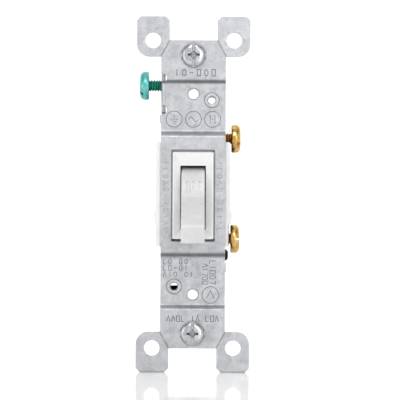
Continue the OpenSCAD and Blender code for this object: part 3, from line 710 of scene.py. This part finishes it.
def fold_cuts(shape):
    """Cuts the flat blank across its folds, so that it can bend there."""
    for side in (-1, 1):
        for low, high in (INNER_STEP, OUTER_STEP):
            for i in range(FOLD_CUTS + 1):
                z = side * (low + (high - low) * i / FOLD_CUTS)
                bmesh.ops.bisect_plane(
                    shape, geom=[*shape.verts, *shape.edges, *shape.faces], plane_co=(0, 0, z), plane_no=UP,
                )
    start = -STRAP_WIDTH / 2 + TAB_BEND
    length = (TAB_BEND - SHEET / 2) * math.pi / 2
    for i in range(9):
        bmesh.ops.bisect_plane(
            shape, geom=[*shape.verts, *shape.edges, *shape.faces],
            plane_co=(start - length * i / 8, 0, 0), plane_no=(1, 0, 0),
        )


def figure_rows():
    """Generic marks: plain bars, rings, squares and angles, in place of any lettering."""
    return {
        "bar": ([(0, 0), (0, 1)], False),
        "dash": ([(-0.5, 0.5), (0.5, 0.5)], False),
        "ring": ([(0.45 * math.cos(a), 0.5 + 0.5 * math.sin(a))
                  for a in [2 * math.pi * k / 14 for k in range(14)]], True),
        "square": ([(-0.42, 0), (0.42, 0), (0.42, 1), (-0.42, 1)], True),
        "angle": ([(-0.42, 1), (0.42, 1), (0.1, 0)], False),
        "wedge": ([(-0.5, 0), (0, 1), (0.5, 0)], False),
        "hook": ([(-0.4, 1), (-0.4, 0), (0.4, 0)], False),
    }


def mark_row(shape, kinds, x, z, height, pitch, upright=True, width=MARK_WIDTH, depth=MARK_DEPTH):
    """Cuts a row of generic marks, running right along X, or down along Z when upright is False."""
    figures = figure_rows()
    for i, kind in enumerate(kinds):
        if kind == "gap":
            continue
        points, closed = figures[kind]
        drawn = []
        for u, v in points:
            across, along = u * height * 0.62, v * height
            if upright:
                drawn.append((x + i * pitch + across, z + along))
            else:
                drawn.append((x + along, z - i * pitch - across))
        groove(shape, drawn, closed, width, -SHEET + step_of(z), depth)


def ringed_mark(shape, x, z, radius, lines):
    """Cuts a ring with a few plain lines inside it."""
    face_y = -SHEET + step_of(z)
    groove(shape, ring_outline(x, z, radius, 36), True, MARK_WIDTH * 0.8, face_y, MARK_DEPTH)
    for line in lines:
        drawn = [(x + u * radius, z + v * radius) for u, v in line]
        groove(shape, drawn, False, MARK_WIDTH * 0.8, face_y, MARK_DEPTH)


def stamped_marks(shape):
    """All the shallow marks on the front of the strap, none of them lettering."""
    long_row = ["bar", "ring", "dash", "square", "ring", "square"]
    mark_row(shape, long_row, -5.0, 35.5, 1.9, 2.2, width=0.3)
    mark_row(
        shape, ["wedge", "wedge", "square", "hook", "gap", "bar", "wedge", "gap", "hook", "square", "wedge"],
        -7.2, -38.1, 1.7, 1.45,
    )
    for z, kinds in (
        (-20.9, ["hook", "ring", "gap", "square", "ring"]),
        (-22.85, ["hook", "square", "dash", "ring", "bar"]),
        (-24.8, ["wedge", "bar", "ring", "gap", "ring", "bar"]),
    ):
        mark_row(shape, kinds, -8.4, z, 1.5, 1.6, width=0.24)
    mark_row(shape, ["wedge", "bar", "angle", "ring", "square"], 2.9, -21.3, 1.7, 1.3, False, 0.24)
    mark_row(shape, ["hook", "bar", "square", "ring", "angle"], 5.1, -20.4, 1.8, 1.5, False, 0.24)
    ground = [
        [(0, 0.62), (0, 0.12)], [(-0.55, 0), (0.55, 0)], [(-0.36, -0.25), (0.36, -0.25)],
        [(-0.16, -0.5), (0.16, -0.5)],
    ]
    wave = [[(-0.6 + 0.1 * k, 0.3 * math.sin(math.pi * k / 6)) for k in range(13)]]
    bars = [[(-0.3, -0.55), (-0.3, 0.55)], [(0.3, -0.55), (0.3, 0.55)], [(-0.12, 0), (0.12, 0)]]
    for x, lines in ((-5.8, ground), (0.0, wave), (5.75, bars)):
        ringed_mark(shape, x, 22.55, 2.4, lines)
    ringed_mark(shape, 5.35, -30.2, 2.5, [[(-0.5, -0.45), (0, 0.5), (0.5, -0.45)]])
    faint = ["bar", "hook", "ring", "wedge", "square", "dash", "angle", "ring", "bar", "wedge", "hook"]
    for x in (-8.9, 7.2):
        mark_row(shape, faint, x, 9.4, 1.5, 2.0, False, 0.18, 0.07)


def coined_rings(shape):
    """Fine rings pressed in round the plate holes and the eyelets."""
    face_y = STEP_BACK - SHEET
    rings = [(0, end * PLATE_HOLE[0], PLATE_HOLE[1] + 0.26) for end in (-1, 1)]
    for node in ("upper_eyelet", "lower_eyelet"):
        low, high = box_mm(node)
        rings.append((middle(node).x, middle(node).z, (high.x - low.x) / 2 + 0.04))
    for x, z, radius in rings:
        groove(shape, ring_outline(x, z, radius), True, 0.16, face_y, MARK_DEPTH)


def ear_scores(shape, top):
    """The diagonal grooves that let the ears be broken off."""
    for side in (-1, 1):
        for end in (-1, 1):
            inner = (side * (EAR_GAP / 2 - 0.3), end * (top - STRAP_END + 0.3))
            outer = (side * (STRAP_WIDTH / 2 + 0.3), end * (top - EAR_HEIGHT - 0.3))
            groove(shape, [inner, outer], False, SCORE_WIDTH, -SHEET, SCORE_DEPTH)


def make_strap():
    high = box_mm("strap")[1]
    top, ear_out = high.z, high.x
    holes = [rounded_rectangle(0, OPENING[2], OPENING[0], OPENING[1], OPENING[3])]
    for end in (-1, 1):
        holes.append(slot_outline(0, end * middle("upper_mounting_screw").z, BOX_SLOT[0], BOX_SLOT[1]))
        holes.append(ring_outline(0, end * PLATE_HOLE[0], PLATE_HOLE[1]))
        holes += [ring_outline(side * EAR_HOLE[0], end * EAR_HOLE[1], EAR_HOLE[2]) for side in (-1, 1)]
    for node in ("upper_eyelet", "lower_eyelet"):
        holes.append(ring_outline(middle(node).x, middle(node).z, EYELET_HOLE_R))
    screw = middle("ground_screw")
    holes.append(ring_outline(tab_flat_x(screw.y), screw.z, MAJOR_R + 0.05))
    shape = plate([strap_outline(top, ear_out), *[hole[::-1] for hole in holes]], SHEET, EDGE)
    bmesh.ops.transform(shape, matrix=Matrix.Rotation(math.pi / 2, 4, "X"), verts=shape.verts)
    fold_cuts(shape)
    for vert in shape.verts:
        beside_tab = TAB_NECK[0] - EDGE <= vert.co.z <= TAB_NECK[1] + EDGE
        in_neck = beside_tab and vert.co.x < -STRAP_WIDTH / 2 + TAB_BEND
        in_tab = vert.co.x < -STRAP_WIDTH / 2 - 2 * NIB[0] and abs(vert.co.z) < top - EAR_HEIGHT - 2
        vert.co.y += -SHEET / 2 + (STEP_BACK if in_neck or in_tab else step_of(vert.co.z))
        if in_neck or in_tab:
            bend_tab(vert.co)
    scores = bmesh.new()
    ear_scores(scores, top)
    shape = cut(shape, scores)
    marks = bmesh.new()
    stamped_marks(marks)
    coined_rings(marks)
    # The faces cut by the marks take the darker zinc of the painted groove shade.
    shape = cut(shape, marks, [FINISHES["zinc_steel"]], GROOVE_SHADE)
    collars = bmesh.new()
    for end in (-1, 1):
        place = Matrix.Translation((0, STEP_BACK - 0.05, end * PLATE_HOLE[0]))
        place @= Matrix.Rotation(-math.pi / 2, 4, "X")
        r, h = COLLAR
        inner = PLATE_HOLE[1]
        profile = [
            (r, 0), (r, h - 0.1), (r - 0.15, h + 0.05),
            (inner + 0.15, h + 0.05), (inner, h - 0.1), (inner, 0),
        ]
        closed_lathe(collars, profile, place)
    thing = piece(merged(shape, collars), "strap_sheet", "zinc_steel", "housing", ["strap"], [GROOVE_SHADE])
    # Each point's painted fold shade, worked out from its height.
    fold_shades = thing.data.attributes.new(FOLD_SHADE, "FLOAT", "POINT")
    for vert, value in zip(thing.data.vertices, fold_shades.data):
        value.value = fold_shade_at(vert.co.z / MM)
    return thing


make_strap()


# ---------- eyelets and washers ----------

def facing_front(x, y, z):
    """Puts a lathe's axis along -Y, its zero height at y."""
    return Matrix.Translation((x, y, z)) @ Matrix.Rotation(math.pi / 2, 4, "X")


def make_eyelet(node):
    low, high = box_mm(node)
    centre = (low + high) / 2
    flange_r = (high.x - low.x) / 2
    flange, tube, back = EYELET_FLANGE, EYELET_TUBE, high.y - low.y
    bore = tube[0]
    shape = bmesh.new()
    closed_lathe(shape, [
        (bore, -flange), (bore, -0.34), (bore + 0.1, -0.16), (bore + 0.28, -0.05), (bore + 0.42, 0),
        (flange_r - 0.3, 0), (flange_r - 0.1, -0.06), (flange_r, -0.2), (flange_r, -flange),
        (tube[1], -flange - 0.02), (tube[1], 0.5 - back), (tube[1] + 0.55, 0.3 - back),
        (tube[1] + 0.5, 0.08 - back), (bore + 0.3, -back), (bore, 0.35 - back),
    ], facing_front(centre.x, low.y, centre.z))
    return piece(shape, node + "_tube", "zinc_steel", "housing", [node], sharp=50)


def make_washer(node):
    low, high = box_mm(node)
    r, t = (high.x - low.x) / 2, high.y - low.y
    centre = (low + high) / 2
    shape = bmesh.new()
    closed_lathe(shape, [
        (WASHER_BORE, 0), (r - 0.15, 0), (r, -0.15), (r, 0.15 - t), (r - 0.15, -t), (WASHER_BORE, -t),
    ], facing_front(centre.x, low.y, centre.z))
    return piece(shape, node + "_disc", "fibre", "housing", [node])


for eyelet in ("upper_eyelet", "lower_eyelet"):
    make_eyelet(eyelet)
for washer in ("upper_retaining_washer", "lower_retaining_washer"):
    make_washer(washer)


# ---------- covers ----------

def ring_of(shape, width, height, middle_z, radius, y):
    """One rounded rectangle of a loft, at a depth y."""
    outline = rounded_rectangle(0, middle_z, width, height, max(radius, 0.02), 4)
    return [shape.verts.new((x, y, z)) for x, z in outline]


def funnel_line():
    """The bezel's inner surface, rim to throat: (share of the way in, how far a tread sinks)."""
    line = []
    for i in range(FUNNEL_STEPS):
        share = i / FUNNEL_STEPS
        line.append((share, FUNNEL_TREAD))
        line.append(((i + 0.86) / FUNNEL_STEPS, FUNNEL_TREAD * 0.25))
    return [*line, (1, 0)]


def bezel():
    """The bezel as one closed ring: outer wall, rounded rim, treaded funnel, throat and back."""
    shape = bmesh.new()
    width, height, middle_z = BEZEL
    top = box_mm("front_cover")[0].y
    rings = [
        ring_of(shape, width, height, middle_z, 0.4, 0.6),
        ring_of(shape, width, height, middle_z, 0.4, top + 0.2),
        ring_of(shape, width - 0.08, height - 0.08, middle_z, 0.38, top + 0.07),
        ring_of(shape, width - 0.24, height - 0.24, middle_z, 0.34, top),
    ]
    rim_w, rim_h = width - 2 * RIM, height - 2 * RIM
    rings.append(ring_of(shape, rim_w + 0.1, rim_h + 0.1, middle_z, 0.3, top))
    for share, step in funnel_line():
        w = rim_w + (THROAT[0] - rim_w) * share
        h = rim_h + (THROAT[1] - rim_h) * share
        z = middle_z + (AXLE.z - middle_z) * share
        rings.append(ring_of(shape, w, h, z, 0.25, top + FUNNEL_DEPTH * share + step))
    rings.append(ring_of(shape, THROAT[0], THROAT[1], AXLE.z, 0.25, COVER_WALL - 0.3))
    rings.append(ring_of(shape, THROAT[0] + 1.2, THROAT[1] + 1.2, AXLE.z, 0.25, COVER_WALL - 0.1))
    for near, far in zip(rings, rings[1:] + rings[:1]):
        for k in range(len(near)):
            m = (k + 1) % len(near)
            shape.faces.new((near[k], near[m], far[m], far[k]))
    return shape


def block(shape, low, high):
    corners = [(low[0], low[1]), (high[0], low[1]), (high[0], high[1]), (low[0], high[1])]
    prism(shape, corners, low[2], high[2])


def make_front_cover():
    shape = joined("front_cover")
    flange_y = 0.03
    away = bmesh.new()
    half_w, half_h = BEZEL[0] / 2, BEZEL[1] / 2
    block(away, (-half_w - 0.5, -5, -half_h - 1), (half_w + 0.5, flange_y, half_h + 0.6))
    gap_top, gap_low = OPENING[2] + OPENING[1] / 2, OPENING[2] - OPENING[1] / 2
    block(away, (-OPENING[0] / 2, -1, gap_low - 0.1), (OPENING[0] / 2, 3.4, gap_low + 0.72))
    block(away, (-OPENING[0] / 2, -1, gap_top - 0.72), (OPENING[0] / 2, 1.2, gap_top + 0.1))
    body = cut(shape, away)
    bmesh.ops.dissolve_limit(body, angle_limit=math.radians(0.6), verts=body.verts, edges=body.edges)
    away_x, away_z = half_w + 0.5, half_h + 1.2
    round_off(body, 0.15, chosen=lambda e: all(abs(v.co.x) > away_x or abs(v.co.z) > away_z for v in e.verts))
    whole = merged(body, bezel())
    return piece(whole, "front_cover_moulding", "white_plastic", "housing", ["front_cover"], sharp=30)


def make_rear_body():
    """The black body with its edges rounded, wire entries countersunk and moulding marks on its back."""
    shape = refined("rear_body", 0.2)
    back = box_mm("rear_body")[1].y
    marks = bmesh.new()
    backwards = Matrix.Rotation(-math.pi / 2, 4, "X")
    for node in ("line_wire_clip", "load_wire_clip"):
        entry_z = middle(node).z
        place = Matrix.Translation((WIRE_ENTRY[0], back, entry_z)) @ backwards
        r = WIRE_ENTRY[1]
        lathe(marks, [(0, -0.9), (r, -0.9), (r + 0.9, 0.2), (0, 0.2)], place)
    for x in (-6.5, 6.5):
        for z in (-9.5, 10.5):
            place = Matrix.Translation((x, back, z)) @ backwards
            lathe(marks, [(0, -0.2), (1.6, -0.2), (1.6, 0.2), (0, 0.2)], place)
    gauge = rounded_rectangle(-2.2, 0.5, 2.4, STRIP_LENGTH, 0.4)
    gauge_place = Matrix.Translation((0, back, 0)) @ Matrix.Rotation(math.pi / 2, 4, "X")
    prism(marks, gauge, -0.2, 0.45, place=gauge_place)
    for end in (-1, 1):
        z = 0.5 + end * (STRIP_LENGTH / 2 + 0.9)
        ribbon(
            marks, [(-4.4, z), (0, z)], False, (0.35, 0.5), (-0.25, 0.2),
            lambda x, v, height: Vector((x, back + height, v)),
        )
    return piece(cut(shape, marks), "rear_body_moulding", "black_plastic", "housing", ["rear_body"], sharp=30)


AXLE = Vector(joint("toggle_swing")["pos_m"]) / MM
make_front_cover()
make_rear_body()


# ---------- toggle ----------

def letters():
    """The generic words of a switch: each letter is a list of lines in a unit square."""
    round_o = [(0.5 + 0.5 * math.cos(a) * 0.98, 0.5 + 0.5 * math.sin(a))
               for a in [2 * math.pi * k / 28 for k in range(28)]]
    return {
        "O": [(round_o, True)],
        "F": [([(0, 0), (0, 1)], False), ([(0, 1), (1, 1)], False), ([(0, 0.54), (0.85, 0.54)], False)],
        "N": [([(0, 0), (0, 1)], False), ([(0, 1), (1, 0)], False), ([(1, 0), (1, 1)], False)],
    }


def sampled(points, closed, longest):
    """The same line with points no further apart than longest, so that it can bend."""
    ends = points + points[:1] if closed else points
    line = []
    for a, b in zip(ends, ends[1:]):
        count = max(1, math.ceil(math.dist(a, b) / longest))
        line += [(a[0] + (b[0] - a[0]) * i / count, a[1] + (b[1] - a[1]) * i / count) for i in range(count)]
    return line if closed else [*line, ends[-1]]


def word_on_drum(shape, word, turn):
    """Raises a word from the drum, its middle at a turn in degrees above the front."""
    stroke = LETTER_STROKE
    wide, high = LETTER_WIDTH - stroke, LETTER_HEIGHT - stroke
    pitch = LETTER_WIDTH + LETTER_GAP
    start = -pitch * (len(word) - 1) / 2 - wide / 2

    def on_drum(u, v, height):
        angle = math.radians(turn) + v / DRUM_R
        radius = DRUM_R + height
        return Vector((u, AXLE.y - radius * math.cos(angle), AXLE.z + radius * math.sin(angle)))

    for i, letter in enumerate(word):
        for line, closed in letters()[letter]:
            drawn = [(start + i * pitch + u * wide, (v - 0.5) * high) for u, v in line]
            ribbon(
                shape, sampled(drawn, closed, 0.3), closed,
                (stroke, stroke * 0.8), (-0.3, LETTER_PROUD), on_drum,
            )


def make_toggle():
    shape = refined("toggle", 0.3, 3)
    words = bmesh.new()
    word_on_drum(words, "OFF", LETTER_ANGLE - REST_ANGLE)
    word_on_drum(words, "ON", -LETTER_ANGLE - REST_ANGLE)
    return piece(merged(shape, words), "toggle_moulding", "toggle_white", "toggle", ["toggle"], sharp=32)


make_toggle()


# ---------- screws ----------

def head_profile(radius, height):
    """A binding head: flat seat, short rim and a low dome."""
    dome = [
        (radius * math.cos(a) ** 0.34, height * (0.45 + 0.55 * math.sin(a)))
        for a in [math.pi / 2 * k / 10 for k in range(10)]
    ]
    return [(0, 0), (radius - 0.35, 0), (radius - 0.1, 0.1), (radius, 0.32), *dome, (0, height)]


def binding_screw(node, head_x, side, turn, finish, body):
    """A terminal screw along X: its head faces side, its slot is turned by an angle."""
    low, high = box_mm(node)
    centre = (low + high) / 2
    radius = (high.z - low.z) / 2
    height = abs((high.x if side > 0 else low.x) - head_x)
    shank = abs(head_x - (low.x if side > 0 else high.x))
    place = Matrix.Translation((head_x, centre.y, centre.z)) @ Matrix.Rotation(side * math.pi / 2, 4, "Y")
    head = bmesh.new()
    lathe(head, head_profile(radius, height), place, 64)
    slots = bmesh.new()
    across = place @ Matrix.Rotation(math.radians(90 + side * turn), 4, "Z")
    half = SLOT_WIDTH / 2
    prism(
        slots, [(-radius - 1, -half), (radius + 1, -half), (radius + 1, half), (-radius - 1, half)],
        height - SLOT_DEPTH, height + 1, place=across,
    )
    cross(slots, across, height, 1.9)
    head = cut(head, slots)
    rod = bmesh.new()
    thread(rod, -shank, 0.1, place)
    thread_finish = [THREADS[finish]] if finish in THREADS else []
    if thread_finish:
        for face in rod.faces:
            face.material_index = 1
    return piece(merged(head, rod), node + "_turned", finish, body, [node], thread_finish, sharp=35)


def cross(shape, place, height, reach):
    """Adds the cutter of a cross recess: tapered blades and a cone."""
    half = 0.42
    for turn in (0, math.pi / 2):
        blade = place @ Matrix.Rotation(turn, 4, "Z")
        prism(
            shape, [(-reach, -half), (reach, -half), (reach, half), (-reach, half)],
            height + 0.5, height - 1.5, 0.45, blade,
        )
    lathe(shape, [(0, height - 1.7), (0.5, height - 1.2), (1.15, height + 0.3), (0, height + 0.3)], place, 24)


def mounting_screw(node, body, turn):
    """A captive box screw along Y: slotted and cross recessed head, neck and thread."""
    low, high = box_mm(node)
    centre = (low + high) / 2
    radius = (high.x - low.x) / 2
    seat = -SHEET
    height = seat - low.y
    place = Matrix.Translation((centre.x, seat, centre.z)) @ Matrix.Rotation(math.pi / 2, 4, "X")
    head = bmesh.new()
    lathe(head, head_profile(radius, height), place, 64)
    slots = bmesh.new()
    half = SLOT_WIDTH / 2
    prism(
        slots, [(-half, -radius - 1), (half, -radius - 1), (half, radius + 1), (-half, radius + 1)],
        height - SLOT_DEPTH, height + 1, place=place @ Matrix.Rotation(math.radians(turn), 4, "Z"),
    )
    cross(slots, place @ Matrix.Rotation(math.radians(turn), 4, "Z"), height, 2.1)
    head = cut(head, slots)
    rod = bmesh.new()
    thread_start = NECK_LENGTH
    into = Matrix.Translation((centre.x, 0, centre.z)) @ Matrix.Rotation(math.pi / 2, 4, "X")
    lathe(rod, [(0, -seat + 0.1), (NECK_R, -seat + 0.1),
                (NECK_R, -thread_start), (MINOR_R, -thread_start - 0.2),
                (0, -thread_start - 0.2)], into, 32)
    thread(rod, -high.y, -thread_start - 0.1, into)
    return piece(merged(head, rod), node + "_turned", "screw_steel", body, [node], sharp=35)


THREADS = {
    "screw_brass": metal("thread_brass", (0.55, 0.23, 0.03), (0.75, 0.38, 0.07), (0.9, 0.58, 0.2), 0.35),
    # The green thread is a darker copy of the head's green: painted shade on the thread.
    "green_screw": metal(
        "thread_green", (0.008, 0.22, 0.14), (0.016, 0.36, 0.25), (0.06, 0.5, 0.38), 0.4, 0.3,
    ),
}
binding_screw("line_terminal_screw", LINE_HEAD_X, 1, 22, "screw_brass", "line_screw")
binding_screw("load_terminal_screw", LOAD_HEAD_X, 1, 5, "screw_brass", "load_screw")
binding_screw("ground_screw", GROUND_HEAD_X, -1, 40, "green_screw", "ground_screw")
mounting_screw("upper_mounting_screw", "upper_mounting_screw", 0)
mounting_screw("lower_mounting_screw", "lower_mounting_screw", 0)


# ---------- inside ----------

INSIDE = (
    ("line_terminal", "terminal_brass", "housing", 0.12),
    ("load_terminal", "terminal_brass", "housing", 0.12),
    ("fixed_contact", "contact_silver", "housing", 0.12),
    ("moving_contact", "contact_silver", "contact_arm", 0.12),
    ("contact_arm", "spring_bronze", "contact_arm", 0.12),
    ("line_wire_clip", "spring_bronze", "housing", 0.06),
    ("load_wire_clip", "spring_bronze", "housing", 0.06),
    ("contact_arm_pin", "screw_steel", "housing", 0.12),
    ("spring_cup", "toggle_white", "spring_cup", 0.12),
)
for node, finish, body, rounding in INSIDE:
    piece(refined(node, rounding), node + "_shape", finish, body, [node])
for spring in ("snap_spring", "contact_spring"):
    wire = bmesh.new()
    wire.from_mesh(frame["nodes"][spring].data)
    bmesh.ops.scale(wire, vec=(1 / MM,) * 3, verts=wire.verts)
    bmesh.ops.remove_doubles(wire, verts=wire.verts, dist=1e-3)
    piece(wire, spring + "_wire", "spring_steel", "housing", [spring], sharp=60)


# ---------- size, camera, light and floor ----------

# (upward part of the direction, grey)
SKY = ((0.01, 0.8), (0.3, 0.86), (0.5, 0.8), (0.68, 0.25), (0.84, 0.3), (0.97, 1.1))
BACKDROP = 1.3
CAMERA_ROLL = math.radians(0.28)
FLOOR_GLOW = 0.15


def look(place, target):
    return (Vector(target) - Vector(place)).to_track_quat("-Z", "Y")


def make_camera():
    distance, width_seen = 0.6, 0.1198
    data = bpy.data.cameras.new("camera")
    data.sensor_width = 36
    data.lens = data.sensor_width * distance / width_seen
    camera = bpy.data.objects.new("camera", data)
    camera.location = (0.0021, -0.0012 - distance, -0.0017)
    camera.rotation_euler = (math.pi / 2, -CAMERA_ROLL, 0)
    bpy.context.scene.collection.objects.link(camera)
    bpy.context.scene.camera = camera


def soft_light(name, place, target, size, power):
    data = bpy.data.lights.new(name, "AREA")
    data.size = size
    data.energy = power
    lamp = bpy.data.objects.new(name, data)
    lamp.location = place
    lamp.rotation_mode = "QUATERNION"
    lamp.rotation_quaternion = look(place, target)
    bpy.context.scene.collection.objects.link(lamp)


def make_world():
    """White behind the object; in front, bright low down, a dark band above, bright overhead."""
    world = bpy.data.worlds.new("studio")
    world.use_nodes = True
    bpy.context.scene.world = world
    tree = world.node_tree
    place = tree.nodes.new("ShaderNodeTexCoord")
    split = tree.nodes.new("ShaderNodeSeparateXYZ")
    tree.links.new(place.outputs["Generated"], split.inputs["Vector"])
    ramp = tree.nodes.new("ShaderNodeValToRGB")
    stops = ramp.color_ramp.elements
    for position, grey in SKY:
        stop = stops.new(position)
        stop.color = (grey, grey, grey * 1.01, 1)
    stops.remove(stops[0])
    stops.remove(stops[-1])
    tree.links.new(split.outputs["Z"], ramp.inputs["Fac"])
    behind = tree.nodes.new("ShaderNodeMapRange")
    behind.inputs["From Min"].default_value = 0.2
    behind.inputs["From Max"].default_value = 0.6
    tree.links.new(split.outputs["Y"], behind.inputs["Value"])
    blend = tree.nodes.new("ShaderNodeMix")
    blend.data_type = "RGBA"
    first, second = [s for s in blend.inputs if s.type == "RGBA"]
    tree.links.new(behind.outputs["Result"], blend.inputs["Factor"])
    tree.links.new(ramp.outputs["Color"], first)
    second.default_value = (BACKDROP, BACKDROP, BACKDROP, 1)
    result = next(s for s in blend.outputs if s.type == "RGBA")
    tree.links.new(result, tree.nodes["Background"].inputs["Color"])


def make_floor():
    shape = bmesh.new()
    bmesh.ops.create_grid(shape, x_segments=1, y_segments=1, size=20)
    floor = holder_of(shape, "floor")
    floor.location.z = CAD_BOUNDS[0].z - 0.00005
    n = Nodes("floor_white")
    n.shader.inputs["Emission Color"].default_value = (1, 1, 1, 1)
    n.shader.inputs["Emission Strength"].default_value = FLOOR_GLOW
    cloud = n.noise(60, 2, 0.5)
    n.finish(n.mix(cloud, (0.86, 0.86, 0.86), (0.9, 0.9, 0.9)), n.spread(cloud, 0, 1, 0.05, 0.08))
    floor.data.materials.append(n.material)


bpy.context.scene.view_settings.view_transform = "Standard"
make_camera()
make_world()
make_floor()
soft_light("key", (-0.03, -0.5, 0.46), (0, 0, 0), 0.3, 1.2)
soft_light("front", (0.28, -0.75, 0.12), (0, 0, 0), 0.3, 0.7)
soft_light("left", (-0.6, -0.35, 0.05), (0, 0, 0), 0.5, 0.8)
